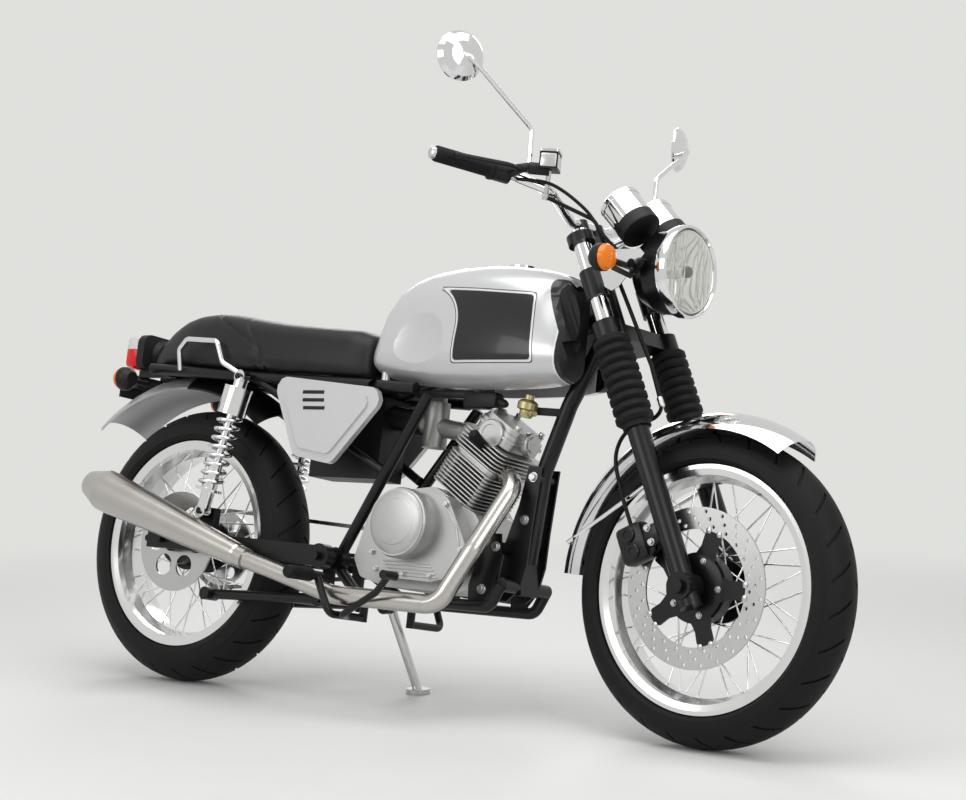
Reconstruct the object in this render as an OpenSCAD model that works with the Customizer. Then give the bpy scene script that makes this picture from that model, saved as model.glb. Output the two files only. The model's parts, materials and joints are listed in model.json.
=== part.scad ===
// Retro cafe racer motorcycle with a single-cylinder air-cooled engine, parked on its side stand.
// Upright bike frame: +X forward, +Y to the rider's left, +Z up, zero on the ground midway between the axles.
// Every node is modelled upright, then turned with the steering where it steers, then leaned on the stand.

/* [Stance] */
// Distance between the axles
wheelbase = 1335; // [1290:5:1380]
// Lean to the left on the side stand, in degrees
lean = 10.5; // [8:0.5:12]
// Steering angle at rest, positive to the left, in degrees
steer = -4.5; // [-8:0.5:8]
// Steering lock to each side of straight ahead, in degrees
steer_lock = 36; // [30:1:38]
// Steering axis rake from the vertical, in degrees
rake = 25; // [24:0.5:27]
// Distance from the steering axis forward to the fork legs
fork_offset = 45; // [40:1:50]
// Half the distance between the fork legs
fork_half = 95; // [92:1:100]

/* [Wheels] */
// Front tyre outer radius
front_tyre_r = 293; // [288:1:298]
// Front tyre half width
front_tyre_half = 55; // [52:1:57]
// Rear tyre outer radius
rear_tyre_r = 307; // [300:1:312]
// Rear tyre half width
rear_tyre_half = 65; // [60:1:66]
// Bead seat radius of both rims
bead_r = 218; // [216:1:220]
// Height of the rim flange above the bead seat
flange_h = 14; // [11:0.5:15]
// Inner radius of the rims, where the spokes end
rim_in_r = 200; // [197:1:202]
// Spokes in each wheel
spoke_count = 36; // [28:4:40]
// Spoke radius
spoke_r = 1.7; // [1.4:0.1:2]
// Hub flange radius
hub_flange_r = 60; // [54:1:64]
// Axle radius
axle_r = 8.5; // [7.5:0.5:9]
// Front brake disc radius
front_disc_r = 143; // [132:1:146]
// Rear brake disc radius
rear_disc_r = 112; // [104:1:118]

/* [Fork and bars] */
// Fork stanchion radius
stanchion_r = 18; // [17:0.5:19]
// Fork slider radius
slider_r = 21.5; // [20:0.5:23]
// Gaiter outer radius
gaiter_r = 37; // [34:1:39]
// Height of the lower yoke's underside along the fork
lower_yoke_s = 512; // [505:1:520]
// Height of the upper yoke's underside along the fork
upper_yoke_s = 722; // [715:1:730]
// Handlebar tube radius
bar_r = 11; // [10:0.5:12]
// Grip radius
grip_r = 16; // [15:0.5:18]
// Headlamp radius
lamp_r = 89; // [84:1:92]

/* [Body] */
// Frame tube radius
tube_r = 16; // [14:0.5:17]
// Mudguard sheet thickness
guard_t = 2.5; // [2:0.5:3]

/* [Engine and exhaust] */
// Forward tilt of the cylinder, in degrees
cyl_tilt = 32; // [28:1:35]
// Cooling fin thickness
fin_t = 3; // [2.5:0.25:4]
// Cooling fin pitch
fin_pitch = 10; // [9:0.5:11]
// Exhaust pipe radius
pipe_r = 19.5; // [17:0.5:21]
// Muffler largest radius
muffler_r = 47; // [42:1:50]

/* [Hidden] */
$fn = 48;
seat_gap = 0.2;
run_gap = 0.05;
move_gap = 5.5;
// Bends run a little inside the straight tubes that they join
elbow_lap = 1.5;
elbow_step = 0.015;
lift = rear_tyre_half * (1 - cos(lean)) + 0.5;
origin = [-15.9, 199.7, 0];
rear_axle = [-wheelbase / 2, 0, rear_tyre_r];
front_axle = [wheelbase / 2, 0, front_tyre_r];
fork_up = [-sin(rake), 0, cos(rake)];
fork_fwd = [cos(rake), 0, sin(rake)];
stem_r = 15;
front_rim_half = 44;
rear_rim_half = 51;
// Fork and hub stack-up, measured from the wheel's middle plane
front_disc_y = 60;
rear_disc_y = 71;
disc_t = 4.5;
arm_y = 110;
arm_half = 13;
chain_y = 81;
// Engine and cradle
swing_pivot = [-205, 0, 295];
crank = [17, 0, 372];
case_half = 72;
cradle_r = 14;
cradle_y = 80;
cradle_z = 222;
rail_r = 13;
rail_y = 94;
rail_x0 = -150;
rail_z0 = 662;
rail_slope = 0.055;
spine_end = [-127, 0, 662];
// Stands
side_pivot = [-188, 112, 212];
side_axis_tilt = 6;
centre_pivot = [-232, 0, 208];
stand_pin_r = 8;
side_axis = [0, cos(side_axis_tilt), sin(side_axis_tilt)];

function fork_pt(s, t, y = 0) = front_axle + s * fork_up + t * fork_fwd + [0, y, 0];
function rail_z(x) = rail_z0 + (rail_x0 - x) * rail_slope;
function unit(v) = v / norm(v);

// Stance placement: lean about the ground line, then shift to the part's origin
module placed() translate([0, 0, lift] - origin) rotate([-lean, 0, 0]) children();
// Ground-frame pieces brought into the upright bike frame
module from_ground() rotate([lean, 0, 0]) translate([0, 0, -lift]) children();
// Steering turn about the stem axis
module steered() translate(fork_pt(0, -fork_offset)) rotate(a = steer, v = fork_up)
  translate(-fork_pt(0, -fork_offset)) children();
// Both ends of the steering's travel
module at_locks() for (a = [-steer_lock, steer_lock]) translate(fork_pt(0, -fork_offset))
  rotate(a = a, v = fork_up) translate(-fork_pt(0, -fork_offset)) children();
// Fork frame: local z up the legs, local x forward, zero at the axle
module fork_frame() translate(front_axle) rotate([0, -rake, 0]) children();
// Wheel frame: local z points to the rider's right
module wheel_frame(centre) translate(centre) rotate([90, 0, 0]) children();
module both_sides() { children(); mirror([0, 1, 0]) children(); }

// Round bar between two points
module rod(a, b, r) {
  d = b - a;
  translate(a) rotate([0, acos(d[2] / norm(d)), atan2(d[1], d[0])]) cylinder(r = r, h = norm(d));
}
// One tube bend at point p, between directions to a and to b
module elbow(a, p, b, r, bend) {
  ua = unit(a - p); ub = unit(b - p);
  phi = acos(ua * ub) / 2;
  c = p + unit(ua + ub) * bend / sin(phi);
  ex = unit(p + ua * bend / tan(phi) - c); ey = -ua; ez = cross(ex, ey);
  multmatrix([[ex[0], ey[0], ez[0], c[0]], [ex[1], ey[1], ez[1], c[1]], [ex[2], ey[2], ez[2], c[2]]])
    rotate(-elbow_lap) rotate_extrude(angle = 180 - 2 * phi + 2 * elbow_lap) translate([bend, 0])
      circle(r = r * (1 - elbow_step));
}
function bend_len(a, p, b, bend) = bend / tan(acos(unit(a - p) * unit(b - p)) / 2);
// Bent tube through a list of points
module bent_tube(pts, r, bend) {
  n = len(pts);
  for (i = [0 : n - 2]) {
    d = unit(pts[i + 1] - pts[i]);
    from = i == 0 ? pts[0] : pts[i] + d * bend_len(pts[i - 1], pts[i], pts[i + 1], bend);
    to = i == n - 2 ? pts[n - 1] : pts[i + 1] - d * bend_len(pts[i], pts[i + 1], pts[i + 2], bend);
    rod(from, to, r);
  }
  if (n > 2) for (i = [1 : n - 2]) elbow(pts[i - 1], pts[i], pts[i + 1], r, bend);
}
// Corner-rounded polygon, a few steps to each corner
function arc_corner(a, p, b, r, n) = let (ua = unit(a - p), ub = unit(b - p), phi = acos(ua * ub) / 2,
  c = p + unit(ua + ub) * r / sin(phi), s = p + ua * r / tan(phi) - c, e = p + ub * r / tan(phi) - c)
  [for (i = [0 : n]) let (k = i / n, m = s * (1 - k) + e * k) c + unit(m) * r];
function round_poly(pts, r, n = 5) = let (k = len(pts))
  [for (i = [0 : k - 1]) each arc_corner(pts[(i + k - 1) % k], pts[i], pts[(i + 1) % k], r, n)];
// Skin over rings of equal length
module loft(rings) {
  n = len(rings[0]); m = len(rings);
  polyhedron(points = [for (r = rings) each r], faces = concat(
    [[for (i = [n - 1 : -1 : 0]) i], [for (i = [0 : n - 1]) (m - 1) * n + i]],
    [for (j = [0 : m - 2], i = [0 : n - 1]) let (k = (i + 1) % n) each
      [[j * n + i, (j + 1) * n + k, (j + 1) * n + i], [j * n + i, j * n + k, (j + 1) * n + k]]]));
}
// Ring of a body at x: superellipse between z0 and z1, half width w, narrowing upward by taper
function body_ring(x, z0, z1, w, taper, power, n = 28) = [for (i = [0 : n - 1])
  let (a = 360 * i / n, c = cos(a), s = sin(a), q = 2 / power,
    y = w * sign(c) * pow(abs(c), q), v = sign(s) * pow(abs(s), q))
  [x, y * (1 - taper * (v + 1) / 2), (z0 + z1) / 2 + v * (z1 - z0) / 2]];

// Tyre: open carcass with a round crown, bead inside the rim flange
module tyre_solid(r, half) {
  bead_half = half - 17;
  mid = r - half;
  ledge = bead_r + flange_h + 2;
  rotate_extrude() difference() {
    union() {
      intersection() {
        translate([mid, 0]) circle(r = half, $fn = 40);
        translate([ledge, -half]) square([half * 3, half * 2]);
      }
      translate([bead_r + seat_gap, -bead_half]) square([flange_h + 4, 2 * bead_half]);
    }
    intersection() {
      translate([mid, 0]) circle(r = half - 10, $fn = 40);
      translate([ledge + 12, -half]) square([half * 3, half * 2]);
    }
    translate([bead_r - 8, 8 - bead_half]) square([flange_h + 24, 2 * bead_half - 16]);
  }
}
// Rim: drop-centre channel
module rim_solid(half) {
  top = bead_r + flange_h;
  rotate_extrude() polygon([
    [rim_in_r, -half * 0.32], [rim_in_r, half * 0.32], [bead_r - 7, half - 18], [bead_r - 6, half - 3], [top - 8, half],
    [top, half], [top, half - 3], [bead_r + 2, half - 5.2], [bead_r, half - 6], [bead_r - 1, half - 16],
    [rim_in_r + 5, half * 0.28], [rim_in_r + 5, -half * 0.28], [bead_r - 1, 16 - half], [bead_r, 6 - half],
    [bead_r + 2, 5.2 - half], [top, 3 - half], [top, -half], [top - 8, -half], [bead_r - 6, 3 - half],
    [bead_r - 7, 18 - half]]);
}
// Tangential laced spokes, trimmed between hub flange and rim
module spoke_set(flange_y) {
  step = 720 / spoke_count;
  for (side = [-1, 1], i = [0 : spoke_count / 4 - 1], lace = [-1, 1]) {
    base = i * 2 * step + (side > 0 ? step / 2 : 0) + (lace > 0 ? step : 0);
    a = base + lace * 38;
    reach = rim_in_r - 0.5 * spoke_r;
    foot = hub_flange_r + spoke_r + seat_gap;
    p = [foot * cos(base - lace * 24), foot * sin(base - lace * 24), side * (flange_y + lace * 1.2)];
    q = [reach * cos(a - lace * 14), reach * sin(a - lace * 14), side * 5];
    rod(p, q, spoke_r);
  }
}
module hub_solid(flange_y, left, right) {
  difference() {
    union() {
      translate([0, 0, -left]) cylinder(r = 24, h = left + right);
      translate([0, 0, -flange_y - 4]) cylinder(r = 40, h = 2 * flange_y + 8);
      for (z = [-flange_y, flange_y]) translate([0, 0, z - 3]) cylinder(r = hub_flange_r, h = 6);
    }
    translate([0, 0, -left - 1]) cylinder(r = axle_r + run_gap, h = left + right + 2);
  }
}
module disc_solid(r, band, bore, y) translate([0, 0, y]) difference() {
  cylinder(r = r, h = disc_t, $fn = 96);
  translate([0, 0, -1]) cylinder(r = bore, h = disc_t + 2);
  for (i = [0 : 5]) rotate(i * 60) translate([(r - band + bore + 12) / 2, 0, -1])
    cylinder(r = (r - band - bore - 12) / 2 - 2, h = disc_t + 2);
}

// Frame: head tube, backbone and gussets
module frame_spine() placed() color("black") difference() {
  union() {
    rod(fork_pt(lower_yoke_s + 39, -fork_offset), fork_pt(upper_yoke_s - 6, -fork_offset), 27);
    rod(fork_pt(600, -fork_offset), spine_end, 19);
    rod(spine_end + [0, -rail_y, 0], spine_end + [0, rail_y, 0], 12);
  }
  rod(fork_pt(lower_yoke_s, -fork_offset), fork_pt(upper_yoke_s, -fork_offset), stem_r + run_gap);
}

// Frame: single downtube, cradle loops, posts and pivot lugs
down_pts = [fork_pt(583, -fork_offset), [301, 0, 640], [256, 0, 500], [243, 0, 318]];
post_low = swing_pivot + [-10, 50, -10];
post_top = [10, 90, 642];
post_r = 12;
module frame_cradle() placed() color("black") difference() {
  union() {
    bent_tube(down_pts, 17, 160);
    rod([238, -cradle_y, 268], [238, cradle_y, 268], cradle_r);
    translate([222, -30, 252]) cube([30, 60, 80]);
    both_sides() {
      bent_tube([[238, cradle_y, 268], [215, cradle_y, cradle_z], [-120, cradle_y, cradle_z], post_low, post_top], post_r, 24);
      translate(swing_pivot + [0, 44, 0]) rotate([-90, 0, 0]) cylinder(r = 24, h = 26);
      translate([centre_pivot[0] - 14, 44, centre_pivot[2] - 14]) cube([28, 10, swing_pivot[2] - centre_pivot[2] + 14]);
      rod(centre_pivot + [0, 50, 0], centre_pivot + [0, 80, 0], stand_pin_r);
    }
    rod([-108, cradle_y, cradle_z], side_pivot + side_axis * -15, 11);
    rod(side_pivot + side_axis * -22, side_pivot + side_axis * -8, 17);
    rod(side_pivot + side_axis * -10, side_pivot + side_axis * 14, stand_pin_r);
  }
  rod(fork_pt(lower_yoke_s, -fork_offset), fork_pt(upper_yoke_s, -fork_offset), 27 + seat_gap);
  rod(swing_pivot + [0, -93, 0], swing_pivot + [0, 93, 0], 9 + seat_gap);
}

// Frame: seat rails, stays and shock pegs
shock_top = [-482, 128, 672];
module subframe() placed() color("black") difference() {
  union() {
    both_sides() {
      rod([-20, rail_y, rail_z(-20)], [-800, rail_y, rail_z(-800)], rail_r);
      rod([-100, 55, 480], [-478, rail_y, rail_z(-478)], 10);
      rod([shock_top[0], rail_y, shock_top[2]], shock_top + [0, 16, 0], 7);
    }
    for (x = [-560, -793]) rod([x, -rail_y, rail_z(x)], [x, rail_y, rail_z(x)], 10);
  }
  rod(spine_end + [0, -rail_y - 30, 0], spine_end + [0, rail_y + 30, 0], 12 + seat_gap);
  both_sides() {
    rod(post_low, post_top, post_r + seat_gap);
    translate(post_top) sphere(r = post_r + seat_gap);
  }
}

filler_x = 150;
// Tank sections, front to rear: x, bottom, top, half width, taper upward
TANK = [[356, 696, 834, 104, 0.42], [350, 684, 852, 118, 0.42], [338, 675, 870, 128, 0.40], [312, 669, 891, 134, 0.36],
  [276, 665, 904, 137, 0.33], [240, 663, 912, 138, 0.30], [180, 661, 920, 138, 0.29], [120, 660, 924, 138, 0.28],
  [40, 662, 922, 132, 0.30], [-30, 667, 915, 122, 0.33], [-80, 673, 902, 114, 0.36], [-118, 680, 881, 107, 0.39],
  [-142, 687, 853, 101, 0.42], [-154, 694, 826, 94, 0.44], [-160, 702, 804, 84, 0.45]];
module tank_skin(grow) loft([for (t = TANK) body_ring(t[0], t[1] - grow, t[2] + grow, t[3] + grow, t[4], 3.4, 44)]);
module tank_tunnel() {
  half = 46;
  translate([0, half, 0]) rotate([90, 0, 0]) linear_extrude(2 * half)
    polygon([[-170, 600], [-170, 728], [290, 842], [290, 990], [400, 990], [400, 600]]);
}
module fuel_tank() placed() color("silver") difference() {
  union() {
    tank_skin(0);
    for (y = [-66, 66]) translate([spine_end[0], y, spine_end[2] + 12 + seat_gap]) cylinder(r = 9, h = 26);
  }
  tank_tunnel();
  at_locks() both_sides() {
    rod(fork_pt(slider_top, 0, fork_half), fork_pt(lower_yoke_s + 38, 0, fork_half), gaiter_r + move_gap);
    rod(fork_pt(lower_yoke_s, 0, fork_half), fork_pt(upper_yoke_s, 0, fork_half), stanchion_r + 5 + move_gap);
  }
}
module fuel_cap() placed() color("silver") difference() {
  translate([filler_x, 0, 912]) cylinder(r = 32, h = 15);
  tank_skin(seat_gap);
}

// Seat sections, front to rear: x, top, half width
SEAT = [[-166, 750, 66], [-176, 776, 88], [-214, 790, 104], [-300, 796, 116], [-400, 804, 124], [-480, 815, 127],
  [-560, 828, 126], [-620, 833, 121], [-680, 830, 113], [-722, 820, 104], [-760, 800, 94], [-794, 772, 83],
  [-818, 748, 72], [-828, 736, 64]];
module seat() placed() color("black") difference() {
  loft([for (s = SEAT) body_ring(s[0], rail_z(s[0]) + rail_r - 8, s[1], s[2], 0.16, 4)]);
  rotate([90, 0, 0]) translate([0, 0, -200]) linear_extrude(400)
    polygon([[-1000, 500], [-1000, rail_z(-1000) + rail_r + seat_gap + 0.1], [0, rail_z(0) + rail_r + seat_gap + 0.1],
      [0, 500]]);
}

// Side panels: rounded outline with a raised middle
PANEL = [[-396, 678], [-64, 648], [-204, 488], [-310, 504]];
module side_panels() placed() color("silver") both_sides() {
  translate([0, 124, 0]) rotate([90, 0, 0]) linear_extrude(14) polygon(round_poly(PANEL, 26));
  translate([0, 129, 0]) rotate([90, 0, 0]) linear_extrude(6) polygon(round_poly([for (p = PANEL)
    [-236, 588] + (p - [-236, 588]) * 0.8], 20));
  for (p = [[-200, 600], [-260, 520]]) rod([p[0], 42 + seat_gap, p[1]], [p[0], 112, p[1]], 8);
}
// Intake line from the air box down to the head, and where the carburettor starts on it
intake_from = [-150, 0, 609];
intake_to = [100, 0, 572];
intake_joint = intake_from + unit(intake_to - intake_from) * 89;
module air_box() placed() color("black") {
  translate([-330, -42, 470]) cube([190, 84, 175]);
  rod(intake_from, intake_joint, 26);
}

// Rear mudguard: arched sheet about its own centre
guard_centre = [-705, 0, 277];
module rear_mudguard() placed() color("silver") difference() {
  translate(guard_centre) rotate([90, 0, 0]) rotate(52) rotate_extrude(angle = 81) intersection() {
    difference() {
      translate([420 - 90, 0]) circle(r = 90);
      translate([420 - 90, 0]) circle(r = 90 - guard_t);
    }
    translate([370, -74]) square([80, 148]);
  }
  for (x = [-560, -793]) rod([x, -rail_y, rail_z(x)], [x, rail_y, rail_z(x)], 10 + seat_gap);
}
module tail_bracket() placed() color("black") {
  difference() {
    union() {
      for (y = [-40, 30]) translate([-900, y, 688]) cube([120, 10, 16]);
      translate([-932, -40, 662]) cube([34, 80, 30]);
      translate([-936, -60, 638]) cube([4, 120, 38]);
    }
    rod([-793, -rail_y, rail_z(-793)], [-793, rail_y, rail_z(-793)], 10 + seat_gap);
  }
}
module lamp_outline(h, grow) rotate([0, -90, 0]) linear_extrude(h)
  polygon(round_poly([[-42 - grow, -66 - grow], [-42 - grow, 66 + grow], [42 + grow, 66 + grow], [42 + grow, -66 - grow]], 22));
module tail_lamp() placed() color("black") {
  translate([-868, 0, 746]) lamp_outline(22, 0);
  translate([-869, 0, 746]) rotate([0, 90, 0]) cylinder(r1 = 38, r2 = 26, h = 10);
  difference() {
    for (y = [-40, 30]) translate([-888, y, 704 + seat_gap]) cube([20, 10, 40]);
    translate([-868, 0, 746]) lamp_outline(22, 0);
  }
}
module tail_lens() placed() color("red") translate([-890 - seat_gap, 0, 746]) lamp_outline(44, -3);
module rear_indicators() placed() color("orange") both_sides() {
  rod([-812, rail_y, rail_z(-800) - 36], [-812, 142, rail_z(-800) - 36], 6);
  rod([-803.3, rail_y, rail_z(-800)], [-812, rail_y, rail_z(-800)], 10);
  translate([-820, rail_y - 8, rail_z(-800) - 42]) cube([16.7, 16, 42]);
  translate([-836, 160, rail_z(-800) - 36]) rotate([0, 90, 0]) cylinder(r = 27, h = 46);
}
grab_r = 6;
module grab_rail() placed() color("silver") both_sides()
  bent_tube([[-500, rail_y + rail_r + grab_r + seat_gap, rail_z(-500)], [-545, 130, 705], [-562, 138, 752], [-655, 138, 757],
    [-684, 130, 735], [-690, rail_y + rail_r + grab_r + seat_gap, rail_z(-690)]], grab_r, 14);

// Engine: crankcase block with gearbox
module engine_cases() placed() color("gray") difference() {
  union() {
    translate([0, case_half, 0]) rotate([90, 0, 0]) linear_extrude(2 * case_half)
      polygon(round_poly([[-150, 300], [-128, 262], [-60, 245], [120, 245], [196, 262], [206, 330], [150, 405], [40, 456],
        [-90, 440], [-128, 380]], 16));
    rod([224, 0, 300], [200, 0, 300], 20);
  }
  translate([222 - seat_gap, -31, 240]) cube([40, 62, 100]);
}
module engine_covers() placed() color("gray") {
  translate(crank + [0, -case_half - seat_gap, 0]) rotate([90, 0, 0]) {
    linear_extrude(40) polygon(round_poly([[-100, -60], [-84, -108], [70, -112], [146, -92], [150, -40], [90, 62], [-60, 70]],
      28));
    cylinder(r = 68, h = 84);
    translate([0, 0, 84]) cylinder(r = 40, h = 5);
  }
  translate(crank + [0, case_half + seat_gap, 0]) rotate([-90, 0, 0]) {
    linear_extrude(24) polygon(round_poly([[-96, 66], [-80, 96], [150, 96], [172, 40], [90, -64], [-60, -68], [-96, -20]], 20));
    cylinder(r = 74, h = 58);
  }
}
// Cylinder frame: local z up the bore
module cyl_frame() translate([72, 0, 432]) rotate([0, cyl_tilt, 0]) children();
module fin_plate(x, y, r) linear_extrude(fin_t) polygon(round_poly([[-x, -y], [x, -y], [x, y], [-x, y]], r));
barrel_h = 96;
head_h = 62;
module cylinder_barrel() placed() color("gray") difference() {
  cyl_frame() union() {
    translate([0, 0, 8]) cylinder(r = 48, h = barrel_h - 8);
    for (i = [0 : 7]) translate([0, 0, 16 + i * fin_pitch]) fin_plate(64, 72, 18);
  }
  translate([0, case_half + 1, 0]) rotate([90, 0, 0]) linear_extrude(2 * case_half + 2)
    polygon([[150 + seat_gap, 405 + seat_gap], [40, 456 + seat_gap * 1.2], [-90, 440 + seat_gap], [-90, 300], [150, 300]]);
}
module cylinder_head() placed() color("gray") cyl_frame() translate([0, 0, barrel_h + seat_gap]) {
  cylinder(r = 52, h = head_h);
  for (i = [0 : 4]) translate([0, 0, 4 + i * fin_pitch]) fin_plate(66, 74, 18);
  translate([0, 0, head_h - 4]) linear_extrude(44) polygon(round_poly([[-52, -58], [52, -58], [52, 58], [-52, 58]], 20));
  for (x = [-50, 50]) translate([x, 0, head_h + 20]) rotate([0, x > 0 ? 60 : -60, 0]) cylinder(r = 24, h = 16);
  translate([0, -58, head_h + 4]) rotate([90, 0, 0]) cylinder(r = 30, h = 8);
}
// Carburettor with intake stub, between head and air box
module carburettor() placed() color("gray") difference() {
  union() {
    rod(intake_joint + unit(intake_to - intake_from) * seat_gap, intake_to, 20);
    translate([-30, 0, 545]) cylinder(r = 26, h = 96);
    translate([-30, 0, 640]) cylinder(r = 18, h = 12);
  }
  cyl_frame() translate([-66 - seat_gap, -100, 0]) cube([200, 200, 300]);
}
// Exhaust: header pipe on the right and reverse-cone muffler
muffler_from = [-365, -166, 273];
muffler_to = [-855, -178, 416];
module muffler_frame() {
  d = muffler_to - muffler_from;
  translate(muffler_from) rotate([0, acos(d[2] / norm(d)), atan2(d[1], d[0])]) children();
}
PIPE = [[168, -24, 500], [232, -60, 470], [196, -128, 330], [140, -150, 214], [-120, -158, 216], muffler_from + [-6, 0, 1.5]];
module exhaust_pipe() placed() color("silver") difference() {
  bent_tube(PIPE, pipe_r, 46);
  cyl_frame() translate([0, 0, barrel_h]) cylinder(r = 52 + seat_gap, h = head_h + 2);
  for (i = [0 : 4]) cyl_frame() translate([0, 0, barrel_h + 4 + i * fin_pitch])
    linear_extrude(fin_t + 2 * seat_gap) square([134, 150], center = true);
  muffler_frame() cylinder(r = muffler_r, h = 30);
}
module muffler() placed() color("silver") {
  len = norm(muffler_to - muffler_from);
  muffler_frame() translate([0, 0, seat_gap])
    rotate_extrude() polygon([[0, 0], [pipe_r + 4, 0], [pipe_r + 4, 24], [pipe_r + 6, 30], [muffler_r, len - 70],
      [muffler_r, len - 50], [30, len], [24, len], [24, len - 40], [0, len - 40]]);
}
// Swingarm with axle, shock lugs and chain adjusters
shock_low = [-540, 136, 372];
module swingarm() placed() color("black") {
    both_sides() {
      translate(rear_axle + [-45, arm_y - arm_half, -20]) rotate([0, 0, 0]) cube([80, 2 * arm_half, 40]);
      translate([0, arm_y + arm_half, 0]) rotate([90, 0, 0]) linear_extrude(2 * arm_half)
        polygon([[swing_pivot[0] - 4, swing_pivot[2] - 22], [swing_pivot[0] - 4, swing_pivot[2] + 22],
          [rear_axle[0] + 20, rear_axle[2] + 20], [rear_axle[0] + 20, rear_axle[2] - 20]]);
      translate(swing_pivot + [0, arm_y - arm_half, 0]) rotate([-90, 0, 0]) cylinder(r = 26, h = 2 * arm_half);
      translate([shock_low[0], arm_y - 10, shock_low[2] - 62]) translate([-20, 0, 0]) cube([40, 20, 72]);
      rod([shock_low[0], arm_y, shock_low[2]], shock_low + [0, 14, 0], 7);
      rod(rear_axle + [-45, arm_y, 0], rear_axle + [-58, arm_y, 0], 8);
    }
    rod(rear_axle + [0, -136, 0], rear_axle + [0, 136, 0], axle_r);
    rod(swing_pivot + [0, -136, 0], swing_pivot + [0, 136, 0], 9);
    both_sides() rod(swing_pivot + [0, 70 + seat_gap, 0], swing_pivot + [0, arm_y, 0], 14);
    rod([-330, -arm_y, 299], [-330, arm_y, 299], 16);
}
// Shock absorbers: top cup, rod and lower body; springs outside them
module shock_line() translate(shock_low) rotate([0, atan2(shock_top[0] - shock_low[0], shock_top[2] - shock_low[2]),
  0]) rotate([atan2(shock_low[1] - shock_top[1], shock_top[2] - shock_low[2]), 0, 0]) children();
shock_len = norm(shock_top - shock_low);
module shocks() placed() color("black") both_sides() shock_line() difference() {
  union() {
    cylinder(r = 15, h = 110);
    translate([0, 0, 100]) cylinder(r = 9, h = shock_len - 130);
    translate([0, 0, 46]) cylinder(r = 30, h = 6);
    translate([0, 0, shock_len - 86]) cylinder(r = 32, h = 62);
    translate([0, 0, shock_len - 30]) cylinder(r = 15, h = 30);
    for (z = [0, shock_len]) translate([0, 0, z]) rotate([90, 0, 0]) translate([0, 0, -10]) cylinder(r = 15, h = 20);
  }
  for (z = [0, shock_len]) translate([0, 0, z]) rotate([90, 0, 0]) translate([0, 0, -20]) cylinder(r = 7.4, h = 40);
}
module shock_springs() placed() color("silver") both_sides() shock_line() difference() {
  union() {
    translate([0, 0, 52 + seat_gap]) cylinder(r = 21, h = shock_len - 138 - 2 * seat_gap);
    for (i = [0 : 8]) translate([0, 0, 58 + i * 16]) rotate_extrude() translate([24, 0]) circle(r = 4, $fn = 16);
  }
  translate([0, 0, 40]) cylinder(r = 18, h = shock_len);
}

// Chain loop round both sprockets, and the front sprocket's place behind the left cover
sprocket_r = 84;
front_sprocket_r = 38;
front_sprocket = [-128, 0, 325];
function chain_line(off) = let (c1 = [rear_axle[0], rear_axle[2]], c2 = [front_sprocket[0], front_sprocket[2]],
  r1 = sprocket_r + off, r2 = front_sprocket_r + off, d = c2 - c1, b = atan2(d[1], d[0]), f = acos((r1 - r2) / norm(d)))
  concat([for (i = [0 : 24]) let (a = b + f + i * (360 - 2 * f) / 24) c1 + r1 * [cos(a), sin(a)]],
    [for (i = [0 : 16]) let (a = b - f + i * 2 * f / 16) c2 + r2 * [cos(a), sin(a)]]);
module chain() placed() color("gray") {
  translate([0, chain_y + 6.5, 0]) rotate([90, 0, 0]) linear_extrude(13) difference() {
    polygon(chain_line(9.5));
    polygon(chain_line(1));
  }
  rod(front_sprocket + [0, case_half + seat_gap, 0], front_sprocket + [0, chain_y + 5, 0], 14);
  rod(front_sprocket + [0, chain_y - 3, 0], front_sprocket + [0, chain_y + 3, 0], front_sprocket_r + 1.5);
}

// Foot pegs' brackets, brake pedal and gear lever
peg = [-140, 196, 250];
module foot_controls() placed() color("black") {
  both_sides() {
    rod([-100, cradle_y, 168], [-100, cradle_y, cradle_z - post_r - seat_gap], 9);
    bent_tube([[-100, cradle_y, 176], [-100, 190, 176], peg + [0, 0, 4]], 8, 18);
    rod(peg + [0, -14, 0], peg + [0, 16, 0], 10);
  }
  bent_tube([[-100, -130, 176], [-60, -196, 176], [20, -196, 226], [48, -196, 262]], 7, 14);
  rod([48, -176, 262], [48, -216, 262], 9);
  rod([-75, case_half + seat_gap, 262], [-75, 118, 262], 8);
  bent_tube([[-75, 112, 262], [-10, 140, 250], [60, 150, 250]], 6, 20);
  rod([56, 146, 250], [60, 210, 250], 7);
}
module foot_rubbers() placed() color("black") both_sides()
  rod(peg + [0, 16 + seat_gap, 0], peg + [0, 90, 0], 14);

// Handlebar path from the clamp outward, upright frame
BAR = [[300, 0, 1004], [300, 58, 1004], [322, 158, 1043], [276, 210, 1062.5], [206, 372, 1076]];
bar_bend = 30;
bar_s = (BAR[0] - front_axle) * fork_up;
bar_t = (BAR[0] - front_axle) * fork_fwd;
// Steering: yokes and stem
module yoke_plate(s, h, grow) translate([0, 0, s]) linear_extrude(h) difference() {
  union() {
    for (y = [-fork_half, fork_half]) translate([0, y]) circle(r = stanchion_r + grow);
    translate([-fork_offset, 0]) circle(r = stem_r + grow);
    polygon([[14, fork_half], [14, -fork_half], [-fork_offset - 10, -26], [-fork_offset - 10, 26]]);
    polygon([[-16, fork_half], [14, fork_half], [14, -fork_half], [-16, -fork_half]]);
  }
  for (y = [-fork_half, fork_half]) translate([0, y]) circle(r = stanchion_r + seat_gap);
}
module yokes() placed() color("black") steered() fork_frame() {
  yoke_plate(lower_yoke_s, 34, 10);
  yoke_plate(upper_yoke_s, 20, 9);
  translate([-fork_offset, 0, lower_yoke_s]) cylinder(r = stem_r, h = upper_yoke_s - lower_yoke_s + 34);
  difference() {
    both_sides() translate([bar_t, 26, upper_yoke_s + 19]) cylinder(r = 16, h = bar_s - upper_yoke_s - 13);
    translate([bar_t, 0, bar_s]) rotate([90, 0, 0]) translate([0, 0, -60]) cylinder(r = bar_r + seat_gap, h = 120);
  }
}
slider_top = 334;
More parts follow.
